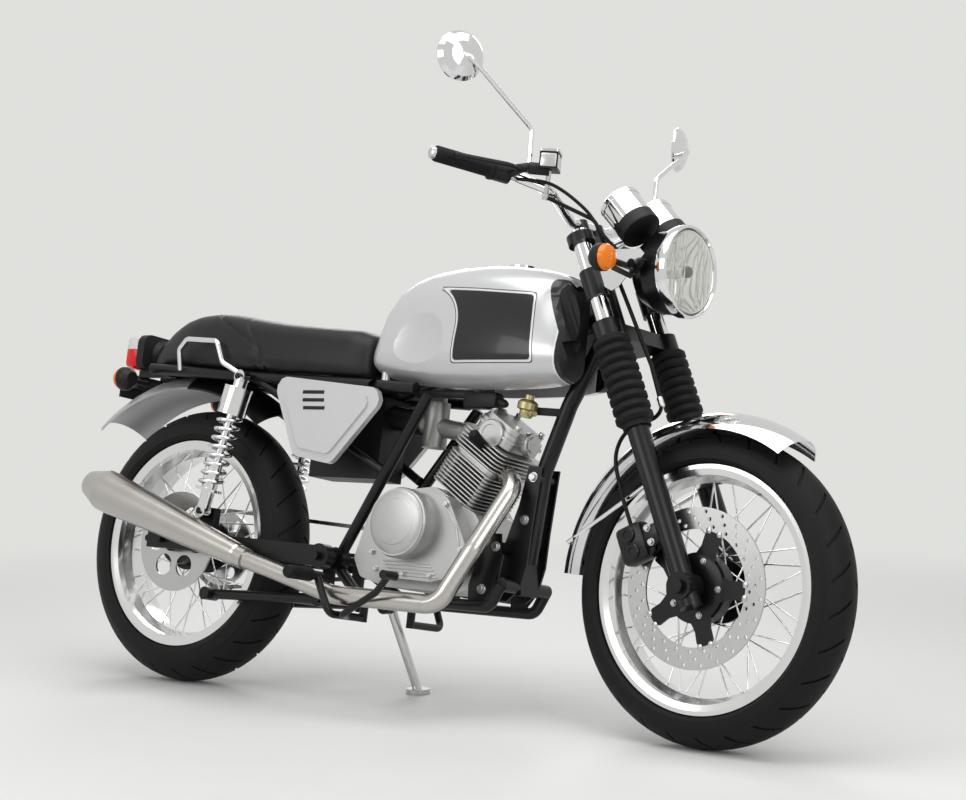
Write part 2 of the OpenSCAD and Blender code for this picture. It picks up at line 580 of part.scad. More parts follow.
module fork_tubes() placed() color("silver") steered() fork_frame() both_sides()
  translate([0, fork_half, slider_top + seat_gap]) cylinder(r = stanchion_r, h = upper_yoke_s + 28 - slider_top);
module fork_gaiters() placed() color("black") steered() fork_frame() both_sides() translate([0, fork_half, 0]) {
  ribs = 9;
  low = slider_top - 14;
  pitch = (lower_yoke_s - seat_gap - low - 12) / ribs;
  rotate_extrude() polygon(concat([[slider_r + seat_gap, low], [slider_r + 6, low], [slider_r + 6, low + 10]],
    [for (i = [0 : ribs - 1]) each [[gaiter_r - 6, low + 12 + i * pitch], [gaiter_r, low + 12 + (i + 0.3) * pitch],
      [gaiter_r, low + 12 + (i + 0.7) * pitch]]],
    [[gaiter_r - 6, lower_yoke_s - seat_gap], [slider_r + seat_gap, lower_yoke_s - seat_gap]]));
}
module fork_sliders() placed() color("black") steered() fork_frame() {
  both_sides() {
    translate([0, fork_half, -40]) cylinder(r = slider_r, h = slider_top + 40);
    translate([0, fork_half, slider_top - 40]) cylinder(r = slider_r + seat_gap / 2, h = 10);
    rotate([-90, 0, 0]) translate([0, 0, 73]) cylinder(r = 26, h = 46);
    rotate([-90, 0, 0]) translate([0, 0, 119]) cylinder(r = 14, h = 10);
  }
  rotate([90, 0, 0]) translate([0, 0, -95]) cylinder(r = axle_r, h = 190);
}
front_guard_r = 334;
module front_mudguard() placed() color("silver") steered() fork_frame() difference() {
  union() {
    rotate([90, 0, 0]) rotate(33) rotate_extrude(angle = 120) intersection() {
      difference() {
        translate([front_guard_r - 76, 0]) circle(r = 76);
        translate([front_guard_r - 76, 0]) circle(r = 76 - guard_t);
      }
      translate([front_guard_r - 42, -66]) square([60, 132]);
    }
    both_sides() {
      translate([-6, 60, 297]) cube([12, 14, slider_top - 16 - 297]);
      rod([310 * cos(142), 64, 310 * sin(142)], [-14, 86, 216], 4);
    }
  }
  both_sides() translate([0, fork_half, 0]) cylinder(r = slider_r + seat_gap, h = 400);
  rotate([90, 0, 0]) translate([0, 0, -70]) cylinder(r = 296, h = 140);
}

// Handlebar, grips and controls, placed in the upright frame and turned with the fork
grip_dir = unit(BAR[4] - BAR[3]);
module handlebar() placed() color("silver") steered() both_sides() bent_tube(BAR, bar_r, bar_bend);
module grips() placed() color("black") steered() both_sides() difference() {
  union() {
    rod(BAR[4] - grip_dir * 122, BAR[4] + grip_dir * 4, grip_r);
    rod(BAR[4] - grip_dir * 122, BAR[4] - grip_dir * 116, grip_r + 4);
  }
  rod(BAR[3], BAR[4] + grip_dir * seat_gap, bar_r + seat_gap);
}
// Lever pivot, mirror boss and brake reservoir places, on the rider's left and mirrored to the right
lever_perch = BAR[4] - grip_dir * 150 + [18, 0, 0];
mirror_foot = [306, 212, 1086];
mirror_bend = mirror_foot + [0, 2, 70];
mirror_stem_r = 5;
reservoir = [337, 186, 1086];
module bar_controls() placed() color("black") steered() {
  both_sides() difference() {
    union() {
      rod(BAR[4] - grip_dir * 158, BAR[4] - grip_dir * 123, 19);
      rod(lever_perch, lever_perch + [24, 6, 4], 9);
      rod(lever_perch + [8, 4, 6], mirror_foot - [0, 0, 6], 9);
      rod(mirror_foot - [0, 0, 16], mirror_foot, 9);
      bent_tube([lever_perch + [22, 0, 4], lever_perch + grip_dir * 40 + [40, 0, 2], BAR[4] + [44, -4, -4]], 5, 30);
    }
    bent_tube(BAR, bar_r + seat_gap, bar_bend);
    rod(mirror_foot, mirror_bend, mirror_stem_r + seat_gap);
  }
  mirror([0, 1, 0]) difference() {
    union() {
      rod(mirror_foot - [0, 0, 8], reservoir - [0, 0, 8], 12);
      translate(reservoir) rotate([0, 0, -30]) translate([-18, -24, -10]) cube([36, 48, 36]);
    }
    rod(mirror_foot, mirror_bend, mirror_stem_r + seat_gap);
  }
}
// Mirrors: side, bend and head places
mirror_head = [241, 370, 1265];
mirror_turn = 24;
module mirrors() placed() color("silver") steered() both_sides() {
  back = [cos(mirror_turn), sin(mirror_turn), 0];
  bent_tube([mirror_foot + [0, 0, seat_gap], mirror_bend, mirror_head + back * 34 + [0, -12, -6], mirror_head + back * 16],
    mirror_stem_r, 14);
  translate(mirror_head) rotate([0, 90, mirror_turn]) rotate_extrude()
    polygon([[0, -3], [46, -3], [49, 0], [49, 4], [42, 14], [26, 22], [0, 25]]);
}
// Headlamp: bucket, ears and lens
lamp = [557, 0, 902];
module headlamp() placed() color("black") steered() difference() {
  union() {
    translate(lamp) rotate([0, -90, 0]) rotate_extrude() polygon([[0, 22], [lamp_r - 6, 22], [lamp_r - 6, 4], [lamp_r - 6, 0],
      [lamp_r, 0], [lamp_r, 14], [lamp_r - 4, 20], [lamp_r - 8, 60], [lamp_r - 26, 92], [lamp_r - 52, 112], [0, 118]]);
    both_sides() translate([440, 92, 902]) rotate([-90, 0, 0]) linear_extrude(5)
      polygon([[-10, -30], [60, -16], [76, 0], [60, 18], [-10, 34], [-44, 30], [-44, -30]]);
    both_sides() rod([490, 60, 902], [490, 104, 902], 9);
    both_sides() rod(fork_pt(600, 0, fork_half), fork_pt(660, 0, fork_half), stanchion_r + 5);
  }
  both_sides() rod(fork_pt(560, 0, fork_half), fork_pt(700, 0, fork_half), stanchion_r + seat_gap);
}
module headlamp_lens() placed() color("white") steered() translate(lamp + [seat_gap, 0, 0]) rotate([0, 90, 0])
  translate([0, 0, -seat_gap * 2 - 21]) rotate_extrude() polygon([[0, 0], [lamp_r - 6.3, 0], [lamp_r - 6.3, 20],
    [lamp_r - 30, 26], [lamp_r - 60, 29], [0, 30]]);
GAUGE = [[474, 976], [418, 1033]];
module gauges() placed() color("silver") steered() {
  both_sides() rod([GAUGE[0][0], 55, GAUGE[0][1]], [GAUGE[1][0], 55, GAUGE[1][1]], 41);
  rod(fork_pt(upper_yoke_s + 10, 14 + seat_gap), fork_pt(upper_yoke_s + 10, 98), 9);
  rod([446, -30, 1000], [446, 30, 1000], 10);
}
module front_indicators() placed() color("orange") steered() both_sides() {
  rod([468, 97 + seat_gap, 902], [468, 150, 902], 7);
  translate([445, 166, 902]) rotate([0, 90, 0]) cylinder(r = 27, h = 46);
}
module front_caliper() placed() color("black") steered() fork_frame() difference() {
  union() {
    translate([-108, -118, 78]) cube([64, 60, 76]);
    translate([-60, -106, 96]) cube([50, 16, 40]);
  }
  wheel_frame([0, 0, 0]) translate([0, 0, front_disc_y - 6]) cylinder(r = 158, h = disc_t + 12);
  translate([0, -fork_half, 0]) cylinder(r = slider_r + seat_gap, h = 400);
}
module brake_hose() placed() color("black") steered() bent_tube([[318, -168, 1030], [400, -110, 990],
  fork_pt(640, 34, -60), fork_pt(560, 40, -60), fork_pt(440, 44, -52), fork_pt(360, 40, -52)], 4, 26);

// Front wheel
front_flange_y = 30;
module front_wheel_place() placed() steered() wheel_frame(front_axle) children();
module front_tyre() color("black") front_wheel_place() tyre_solid(front_tyre_r, front_tyre_half);
module front_rim() color("silver") front_wheel_place() rim_solid(front_rim_half);
module front_spokes() color("silver") front_wheel_place() spoke_set(front_flange_y);
module front_hub() color("gray") front_wheel_place() {
  hub_solid(front_flange_y, 68, 66);
  difference() {
    translate([0, 0, front_flange_y + 4]) cylinder(r = 66, h = front_disc_y - front_flange_y - 4 - seat_gap);
    cylinder(r = 23, h = 100);
  }
}
module front_disc() color("gray") front_wheel_place() disc_solid(front_disc_r, 38, 24 + seat_gap, front_disc_y);

// Rear wheel
rear_flange_y = 33;
module rear_wheel_place() placed() wheel_frame(rear_axle) children();
module rear_tyre() color("black") rear_wheel_place() tyre_solid(rear_tyre_r, rear_tyre_half);
module rear_rim() color("silver") rear_wheel_place() rim_solid(rear_rim_half + 3);
module rear_spokes() color("silver") rear_wheel_place() spoke_set(rear_flange_y);
module rear_hub() color("gray") rear_wheel_place() {
  hub_solid(rear_flange_y, 91, 91);
  difference() {
    translate([0, 0, rear_flange_y + 4]) cylinder(r = 50, h = rear_disc_y - rear_flange_y - 4 - seat_gap);
    cylinder(r = 23, h = 100);
  }
  difference() {
    translate([0, 0, -chain_y + 3.5 + seat_gap]) cylinder(r = 50, h = chain_y - 3.5 - rear_flange_y - 4);
    translate([0, 0, -100]) cylinder(r = 23, h = 100);
  }
}
module rear_disc() color("gray") rear_wheel_place() disc_solid(rear_disc_r, 24, 24 + seat_gap, rear_disc_y);
module rear_sprocket() color("gray") rear_wheel_place() translate([0, 0, -chain_y - 3.5]) difference() {
  cylinder(r = sprocket_r, h = 7);
  translate([0, 0, -1]) cylinder(r = 24 + seat_gap, h = 9);
  for (i = [0 : 5]) rotate(i * 60) translate([62, 0, -1]) cylinder(r = 13, h = 9);
}

// Side stand: bored boss, leg and a foot that lies flat on the ground
side_foot = [-142, 192, 5];
side_ankle = [side_foot[0], side_foot[1] * cos(lean) - (side_foot[2] - lift) * sin(lean),
  side_foot[1] * sin(lean) + (side_foot[2] - lift) * cos(lean)];
module side_stand() placed() color("black") difference() {
  union() {
    rod(side_pivot + side_axis * 4, side_ankle, 10);
    rod(side_pivot + side_axis * -2, side_pivot + side_axis * 11, 18);
    from_ground() translate([side_foot[0], side_foot[1], 0]) cylinder(r = 26, h = 2 * side_foot[2]);
  }
  rod(side_pivot + side_axis * -30, side_pivot + side_axis * 30, stand_pin_r + run_gap);
}
// Centre stand, folded back under the swingarm
centre_foot = [-520, 96, 196];
module centre_stand() placed() color("black") difference() {
  union() {
    both_sides() {
      rod(centre_pivot + [0, 68, 0], centre_foot, 11);
      rod(centre_foot + [0, -14, 0], centre_foot + [0, 24, 0], 14);
      rod(centre_pivot + [0, 60, 0], centre_pivot + [0, 76, 0], 17);
    }
    rod([-330, -78, 204], [-330, 78, 204], 9);
  }
  rod(centre_pivot + [0, -120, 0], centre_pivot + [0, 120, 0], stand_pin_r + run_gap);
}

frame_spine();
frame_cradle();
subframe();
fuel_tank();
fuel_cap();
seat();
side_panels();
air_box();
rear_mudguard();
tail_bracket();
tail_lamp();
tail_lens();
rear_indicators();
grab_rail();
engine_cases();
engine_covers();
cylinder_barrel();
cylinder_head();
carburettor();
exhaust_pipe();
muffler();
swingarm();
shocks();
shock_springs();
chain();
foot_controls();
foot_rubbers();
yokes();
fork_tubes();
fork_gaiters();
fork_sliders();
front_mudguard();
handlebar();
grips();
bar_controls();
mirrors();
headlamp();
headlamp_lens();
gauges();
front_indicators();
front_caliper();
brake_hose();
front_tyre();
front_rim();
front_spokes();
front_hub();
front_disc();
rear_tyre();
rear_rim();
rear_spokes();
rear_hub();
rear_disc();
rear_sprocket();
side_stand();
centre_stand();
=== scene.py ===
import json
from math import acos, atan2, cos, exp, hypot, pi, radians, sin

import bmesh
import bpy
from mathutils import Matrix, Vector


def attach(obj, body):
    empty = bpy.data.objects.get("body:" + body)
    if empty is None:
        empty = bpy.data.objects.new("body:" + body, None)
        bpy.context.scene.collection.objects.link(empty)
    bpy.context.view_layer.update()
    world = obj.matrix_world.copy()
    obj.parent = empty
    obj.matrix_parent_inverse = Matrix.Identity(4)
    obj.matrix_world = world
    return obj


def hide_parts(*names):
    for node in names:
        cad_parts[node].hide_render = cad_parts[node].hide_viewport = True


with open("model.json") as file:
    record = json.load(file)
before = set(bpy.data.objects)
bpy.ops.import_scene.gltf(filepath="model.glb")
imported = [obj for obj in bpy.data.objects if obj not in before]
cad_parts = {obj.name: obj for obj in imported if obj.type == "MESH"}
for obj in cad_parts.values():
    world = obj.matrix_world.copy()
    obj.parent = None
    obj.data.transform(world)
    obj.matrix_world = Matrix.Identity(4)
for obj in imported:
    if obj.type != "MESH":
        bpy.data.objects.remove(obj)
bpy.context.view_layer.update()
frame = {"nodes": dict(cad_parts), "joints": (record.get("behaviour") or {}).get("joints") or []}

# Parked stance
# The machine stands on its tyres and side stand, leaning to the left, with the bars a little to the right.
# Pieces are shaped upright, in metres, and these places lean and steer them as the frame is.
nodes = frame["nodes"]
joint = {j["name"]: j for j in frame["joints"]}
lean = radians(10.5)
steer = radians(-4.5)
rake = radians(25)
wheelbase = 1.335
front_tyre_r = 0.293
rear_tyre_r = 0.307
rear_axle = Vector((-wheelbase / 2, 0, rear_tyre_r))
front_axle = Vector((wheelbase / 2, 0, front_tyre_r))
fork_up = Vector((-sin(rake), 0, cos(rake)))
fork_fwd = Vector((cos(rake), 0, sin(rake)))
fork_offset = 0.045
upright_turn = Matrix.Rotation(-lean, 4, "X")
parking_place = Vector(joint["rear_wheel_spin"]["pos_m"]) - upright_turn @ rear_axle
stance = Matrix.Translation(parking_place) @ upright_turn
stem_foot = front_axle - fork_offset * fork_fwd


def bars_turned(angle):
    """The turn of the bars about the stem."""
    return Matrix.Translation(stem_foot) @ Matrix.Rotation(angle, 4, fork_up) @ Matrix.Translation(-stem_foot)


steered = stance @ bars_turned(steer)
fork = steered @ Matrix.Translation(front_axle) @ Matrix.Rotation(-rake, 4, "Y")
front_wheel = steered @ Matrix.Translation(front_axle)
rear_wheel = stance @ Matrix.Translation(rear_axle)


# Frame tubes, swingarm, stands and brackets
# Welded steel tube, powder coated in gloss black; the coat shows a fine orange peel and a little dust.
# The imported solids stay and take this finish.
def node(tree, kind, inputs=(), **settings):
    """A shader node with its settings, and its inputs as values or links."""
    made = tree.nodes.new("ShaderNode" + kind)
    for name, value in settings.items():
        setattr(made, name, value)
    for name, value in dict(inputs).items():
        if isinstance(value, bpy.types.NodeSocket):
            tree.links.new(value, made.inputs[name])
        else:
            made.inputs[name].default_value = value
    return made


coat_rough, least_rough, drift_scale, peel_height = 0.06, 0.02, 9.0, 0.0006


def surface(name, colour, metal=0.0, rough=0.4, coat=0.0, peel=0.0, peel_scale=300.0, vary=0.08, tint=0.15,
            shine=0.5):
    """A finish with the fine unevenness of a real one: colour and gloss drift, and a shallow relief."""
    mat = bpy.data.materials.new(name)
    mat.use_nodes = True
    tree = mat.node_tree
    shader = tree.nodes["Principled BSDF"]
    shader.inputs["Metallic"].default_value = metal
    shader.inputs["Specular IOR Level"].default_value = shine
    shader.inputs["Coat Weight"].default_value = coat
    shader.inputs["Coat Roughness"].default_value = coat_rough
    place = node(tree, "TexCoord").outputs["Object"]
    drift = node(tree, "TexNoise", {"Scale": drift_scale, "Detail": 5.0, "Vector": place}).outputs["Fac"]
    dark, light = [[min(1, c * (1 + sense * tint)) for c in colour] + [1] for sense in (-1, 1)]
    shade = node(tree, "Mix", {"A": dark, "B": light, "Factor": drift}, data_type="RGBA")
    tree.links.new(shade.outputs["Result"], shader.inputs["Base Color"])
    gloss = node(tree, "MapRange", {"To Min": max(least_rough, rough - vary), "To Max": rough + vary,
                                    "Value": drift})
    tree.links.new(gloss.outputs["Result"], shader.inputs["Roughness"])
    if peel:
        relief = node(tree, "TexNoise", {"Scale": peel_scale, "Detail": 3.0, "Vector": place}).outputs["Fac"]
        bump = node(tree, "Bump", {"Strength": peel, "Distance": peel_height, "Height": relief})
        tree.links.new(bump.outputs["Normal"], shader.inputs["Normal"])
    return mat


def dress(mat, *names):
    """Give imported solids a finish."""
    for name in names:
        slots = nodes[name].data.materials
        if len(slots):
            slots[0] = mat
        else:
            slots.append(mat)


black_coat = surface("black_powder_coat", (0.004, 0.004, 0.0045), rough=0.32, coat=0.1, peel=0.12, shine=0.28)
dress(black_coat, "frame_spine", "frame_cradle", "subframe", "swingarm", "centre_stand", "yokes")


# Fuel tank
# Pressed steel shell in silver metallic lacquer; knee hollow, black panel and thin lines on each flank.
# The skin is the imported solid's own, joined to shade as one sheet; its front, round the fork, is painted
# near-black as shade.
def shown(name, data):
    """An object in the scene, for a mesh, curve, light or camera."""
    obj = bpy.data.objects.new(name, data)
    bpy.context.scene.collection.objects.link(obj)
    return obj


def piece(name, bm, finishes, body, place=stance, crease=35):
    """Set a shaped mesh in its place, as one object that rides on a body."""
    bmesh.ops.transform(bm, matrix=place, verts=bm.verts)
    for face in bm.faces:
        face.smooth = True
    for edge in bm.edges:
        edge.smooth = edge.calc_face_angle(pi) < radians(crease)
    mesh = bpy.data.meshes.new(name)
    bm.to_mesh(mesh)
    bm.free()
    obj = shown(name, mesh)
    for mat in finishes if isinstance(finishes, list) else [finishes]:
        mesh.materials.append(mat)
    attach(obj, body)
    return obj


def upright_copy(name):
    """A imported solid's mesh on the upright machine, with its loose triangles joined."""
    bm = bmesh.new()
    bm.from_mesh(nodes[name].data)
    bmesh.ops.remove_doubles(bm, verts=bm.verts, dist=0.00002)
    bmesh.ops.transform(bm, matrix=stance.inverted(), verts=bm.verts)
    return bm


def mirrored(spot, side):
    """A place on the left, or its like on the right where side is -1."""
    return Vector((spot.x, side * spot.y, spot.z))


def number(tree, operation, *terms):
    """One step of a worked-out mask."""
    return node(tree, "Math", enumerate(terms), operation=operation).outputs[0]


def on_vectors(tree, operation, *terms):
    """The same for vectors, with all the outputs of the step."""
    return node(tree, "VectorMath", enumerate(terms), operation=operation).outputs


def upright_place(tree):
    """Where a point is on the upright machine."""
    shift = -(upright_turn.inverted() @ parking_place)
    upright = node(tree, "Mapping", {"Rotation": (lean, 0, 0), "Location": shift,
                                     "Vector": node(tree, "TexCoord").outputs["Object"]})
    return node(tree, "SeparateXYZ", {"Vector": upright.outputs["Vector"]}).outputs


def flank_distance(tree):
    """Distance outside the flank panel, seen from the side: three edges and one round the knee."""
    x, _, z = upright_place(tree)
    over_x = number(tree, "MAXIMUM", number(tree, "SUBTRACT", x, knee_edge[0]), 0.0)
    over_z = number(tree, "MAXIMUM", number(tree, "SUBTRACT", z, knee_edge[1]), 0.0)
    square = number(tree, "MULTIPLY_ADD", over_x, over_x, number(tree, "MULTIPLY", over_z, over_z))
    distance = number(tree, "SUBTRACT", knee_edge_r, number(tree, "SQRT", square))
    for slope_x, slope_z, reach in PANEL_EDGES:
        along = number(tree, "MULTIPLY_ADD", x, slope_x, number(tree, "MULTIPLY", z, slope_z))
        distance = number(tree, "SMOOTH_MAX", distance, number(tree, "SUBTRACT", along, reach), panel_round)
    return distance


def band(tree, distance, low, high, soft=0.0004):
    """1 between two distances and 0 outside them, with soft edges."""
    masks = []
    for edge, sense in ((low, 1), (high, -1)):
        ramp = node(tree, "MapRange", {"From Min": edge - sense * soft, "From Max": edge + sense * soft,
                                       "Value": distance})
        masks.append(ramp.outputs["Result"])
    return number(tree, "MULTIPLY", *masks)


def overpaint(mat, mask, colour):
    """Lay another colour over a finish where the mask is 1."""
    tree = mat.node_tree
    socket = tree.nodes["Principled BSDF"].inputs["Base Color"]
    below = socket.links[0].from_socket
    layer = node(tree, "Mix", {"A": below, "B": (*colour, 1), "Factor": mask}, data_type="RGBA")
    tree.links.new(layer.outputs["Result"], socket)


def cut_away(bm, tool):
    """What is left of a mesh once another closed mesh is cut out of it."""
    pair = []
    for part in (bm, tool):
        mesh = bpy.data.meshes.new("cutting")
        part.to_mesh(mesh)
        part.free()
        pair.append(shown("cutting", mesh))
    cut = pair[0].modifiers.new("cut", "BOOLEAN")
    cut.operation = "DIFFERENCE"
    cut.solver = "EXACT"
    cut.object = pair[1]
    left = bmesh.new()
    left.from_object(pair[0], bpy.context.evaluated_depsgraph_get())
    for obj in pair:
        bpy.data.objects.remove(obj)
    return left


silver_colour, panel_black, recess_shade_black = (0.60, 0.605, 0.61), (0.006, 0.006, 0.007), (0.006, 0.006, 0.0065)
LACQUER = {"metal": 0.35, "rough": 0.24, "vary": 0.03, "tint": 0.03}
silver_lacquer = surface("silver_lacquer", silver_colour, coat=1.0, **LACQUER)
tank_lacquer = surface("tank_lacquer", silver_colour, coat=0.4, **LACQUER)
tank_recess_shade = surface("tank_recess_shade", recess_shade_black, rough=0.55, tint=0.2, shine=0.3)
PANEL_EDGES = ((0.0805, 0.9968, 0.8626), (0.9914, 0.1309, 0.3658), (0.0, -1.0, -0.7095))
knee_edge, knee_edge_r, panel_round = (-0.0085, 0.7794), 0.0927, 0.014
# Each line round the panel: inner edge, outer edge, grey.
PANEL_LINES = ((0.0014, 0.0036, 0.82), (0.0046, 0.0064, 0.02))
lines_from = 0.018
tank_paint = tank_lacquer.node_tree
panel_edge = flank_distance(tank_paint)
overpaint(tank_lacquer, band(tank_paint, panel_edge, -1.0, 0.0), panel_black)
tank_length, _, _ = upright_place(tank_paint)
lined = band(tank_paint, tank_length, lines_from, 1.0)
for low, high, grey in PANEL_LINES:
    line = number(tank_paint, "MULTIPLY", lined, band(tank_paint, panel_edge, low, high))
    overpaint(tank_lacquer, line, (grey, grey, grey))
lock, leg_half, channel_edge = radians(36), 0.095, 0.0432
LEGS = [bars_turned(turn) @ mirrored(front_axle + Vector((0, leg_half, 0)), side)
        for turn in (-lock, lock) for side in (-1, 1)]
tank_front, rolled_edge = 0.3275, 0.0035
# The rolled front edge is painted as a light grey band, a painted highlight.
lip_highlight = band(tank_paint, tank_length, tank_front - rolled_edge, tank_front)
overpaint(tank_lacquer, lip_highlight, (0.80, 0.80, 0.80))
# The front face and the channels round the fork legs are painted near-black: painted shade in the recesses.
overpaint(tank_lacquer, band(tank_paint, tank_length, tank_front, 1.0), recess_shade_black)
for leg in LEGS:
    where = node(tank_paint, "TexCoord").outputs["Object"]
    from_leg = on_vectors(tank_paint, "SUBTRACT", where, stance @ leg)["Vector"]
    across = on_vectors(tank_paint, "CROSS_PRODUCT", from_leg, upright_turn @ fork_up)["Vector"]
    away = on_vectors(tank_paint, "LENGTH", across)["Value"]
    overpaint(tank_lacquer, band(tank_paint, away, -1.0, channel_edge), recess_shade_black)
knee, knee_r, knee_slack = Vector((-0.062, 0.3945, 0.780)), 0.300, 0.0004


def in_recess(spots):
    """Whether all of a face lies in the front recess or in one of the channels for the fork legs."""
    return all(spot.x > tank_front for spot in spots) or any(
        all((spot - leg).cross(fork_up).length < channel_edge for spot in spots) for leg in LEGS)


def in_hollow(spot):
    """Whether a point lies on one of the two balls that hollow the flanks."""
    return abs((spot - mirrored(knee, 1 if spot.y > 0 else -1)).length - knee_r) < knee_slack


balls_bm = bmesh.new()
for side in (-1, 1):
    bmesh.ops.create_uvsphere(balls_bm, u_segments=160, v_segments=96, radius=knee_r,
                              matrix=Matrix.Translation(mirrored(knee, side)))
tank_bm = cut_away(upright_copy("fuel_tank"), balls_bm)
# Faces in the recesses take the matte near-black finish, as painted shade.
for face in tank_bm.faces:
    if in_recess([v.co for v in face.verts]):
        face.material_index = 1
hollow = {f for f in tank_bm.faces if all(in_hollow(v.co) for v in f.verts)}
tank_bm.edges.index_update()
hollow_rim = [e.index for e in tank_bm.edges if len([f for f in e.link_faces if f in hollow]) == 1]
tank = piece("tank_skin", tank_bm, [tank_lacquer, tank_recess_shade], "chassis", stance, 42)
for edge in hollow_rim:
    tank.data.edges[edge].use_edge_sharp = True
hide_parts("fuel_tank")

# Bright metal
# Filler cap, grab rail, handlebar, mirrors, gauge cups, stanchions, shock absorbers and front mudguard are
# chromium plated steel. The plate is a mirror with faint polishing haze.
chrome = surface("chrome_plate", (0.78, 0.78, 0.79), metal=1.0, rough=0.07, vary=0.03, tint=0.03)
dress(chrome, "fuel_cap", "grab_rail", "handlebar", "mirrors", "gauges", "fork_tubes", "front_mudguard",
      "shocks")

# Seat
# Moulded foam in black vinyl on a pan, with a raised tail and two crossing seams sewn in on each flank.
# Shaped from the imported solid: remeshed, smoothed, then drawn in along the seams.
vinyl = surface("black_vinyl", (0.006, 0.006, 0.0065), rough=0.42, peel=0.5, peel_scale=900.0, vary=0.06,
                shine=0.32)
seat_bottom, seat_grain, seat_rounds = 0.672, 0.005, 14
seam_depth, seam_width, seat_puff, crown_trim = 0.0035, 0.006, 0.002, 0.01
# Each seam from the bottom up: share of the seat's height, place along the machine.
SEAMS = (((0.0, -0.432), (0.45, -0.455), (0.85, -0.570), (1.0, -0.610)),
         ((0.0, -0.470), (0.45, -0.455), (0.85, -0.505), (1.0, -0.520)))


def along_seam(seam, height):
    """How far back a seam runs at a share of the seat's height."""
    for (h0, x0), (h1, x1) in zip(seam, seam[1:]):
        if height <= h1:
            return x0 + (x1 - x0) * (height - h0) / (h1 - h0)
    return seam[-1][1]


seat_bm = upright_copy("seat")
seat_mesh = bpy.data.meshes.new("seat_blank")
seat_bm.to_mesh(seat_mesh)
seat_bm.free()
blank = shown("seat_blank", seat_mesh)
remesh = blank.modifiers.new("even", "REMESH")
remesh.mode = "VOXEL"
remesh.voxel_size = seat_grain
seat_bm = bmesh.new()
seat_bm.from_object(blank, bpy.context.evaluated_depsgraph_get())
bpy.data.objects.remove(blank)
for _ in range(seat_rounds):
    bmesh.ops.smooth_vert(seat_bm, verts=seat_bm.verts, factor=0.5, use_axis_x=True, use_axis_y=True,
                              use_axis_z=True)
seat_bm.normal_update()
seat_height = max(v.co.z for v in seat_bm.verts) - crown_trim - seat_bottom
for v in seat_bm.verts:
    height = min(1.0, max(0.0, (v.co.z - seat_bottom) / seat_height))
    pull = sum(seam_depth * exp(-((v.co.x - along_seam(s, height)) / seam_width) ** 2) for s in SEAMS)
    v.co += v.normal * (seat_puff * sin(height * pi) - pull)
seat = piece("seat_cover", seat_bm, vinyl, "chassis", stance, 60)
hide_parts("seat")

# Side panels
# Moulded covers in the tank's silver, with three short black slots in the flank.
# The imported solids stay; the slots are dark inserts a fraction proud of the skin.
dress(silver_lacquer, "side_panels")
black_moulding = surface("black_moulding", (0.006, 0.006, 0.0065), rough=0.45, peel=0.25, peel_scale=500.0,
                         shine=0.3)
panel_face, slot_top, slot_step, slot_size = 0.1292, 0.640, 0.017, (0.060, 0.0016, 0.0075)


def edges_of(verts):
    """All the edges that meet at some corners."""
    return list({e for v in verts for e in v.link_edges})


def softened(bm, edges, width, cuts):
    """Take edges off, by a chamfer for one cut and rounder for more; gives the new faces."""
    return bmesh.ops.bevel(bm, geom=edges, offset=width, offset_type="OFFSET", segments=cuts, profile=0.5,
                           affect="EDGES", material=-1)["faces"]


def rounded_bar(bm, spot, size, corner, turn=Matrix()):
    """A bar with round corners, about a spot."""
    made = bmesh.ops.create_cube(bm, size=1.0, matrix=turn @ Matrix.Diagonal((*size, 1)))
    faces = softened(bm, edges_of(made["verts"]), corner, 2)
    bmesh.ops.translate(bm, vec=spot, verts=list({v for f in faces for v in f.verts}))


slots_bm = bmesh.new()
for side in (-1, 1):
    for row, back in enumerate((-0.268, -0.266, -0.262)):
        rounded_bar(slots_bm, (back, side * panel_face, slot_top - slot_step * row), slot_size, 0.0007)
piece("panel_slots", slots_bm, black_moulding, "chassis")

# Air box, tail bracket, lamp housing and bar controls
# Black mouldings and pressings with a fine grain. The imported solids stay.
dress(black_moulding, "air_box", "tail_bracket", "tail_lamp", "bar_controls")

# Rear mudguard
# Rolled sheet, satin silver behind the seat rails and black in front of them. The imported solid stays.
guard_paint = surface("guard_paint", (0.45, 0.45, 0.455), metal=0.5, rough=0.36, vary=0.05, tint=0.06)
guard_black, guard_black_from = (0.012, 0.012, 0.012), -0.700
guard_back, _, _ = upright_place(guard_paint.node_tree)
overpaint(guard_paint, band(guard_paint.node_tree, guard_back, guard_black_from, 1.0), guard_black)
dress(guard_paint, "rear_mudguard")


# Tail lens
# One moulded acrylic lens, clear above for the plate light and red below, ribbed inside.
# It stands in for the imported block, of the same outline.
def lens_finish(name, colour, clear):
    """Coloured acrylic with fine moulded prisms."""
    mat = surface(name, colour, rough=0.1, coat=0.2, peel=0.8, peel_scale=160.0, vary=0.03, tint=0.1,
                  shine=0.35)
    mat.node_tree.nodes["Principled BSDF"].inputs["Transmission Weight"].default_value = clear
    return mat


red_acrylic = lens_finish("red_acrylic", (0.74, 0.004, 0.003), 0.05)
clear_acrylic = lens_finish("clear_acrylic", (0.85, 0.85, 0.84), 0.3)
amber_acrylic = lens_finish("amber_acrylic", (0.88, 0.21, 0.001), 0.05)
lens_low, lens_high = Vector((-0.934, -0.063, 0.707)), Vector((-0.8902, 0.063, 0.785))
lens_split = 0.752
tail_bm = bmesh.new()
rounded_bar(tail_bm, (lens_low + lens_high) / 2, lens_high - lens_low, 0.014)
bmesh.ops.bisect_plane(tail_bm, geom=tail_bm.verts[:] + tail_bm.edges[:] + tail_bm.faces[:],
                       plane_co=(0, 0, lens_split), plane_no=(0, 0, 1))
for face in tail_bm.faces:
    face.material_index = 1 if face.calc_center_median().z > lens_split else 0
tail = piece("tail_light_lens", tail_bm, [red_acrylic, clear_acrylic], "chassis")
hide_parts("tail_lens")


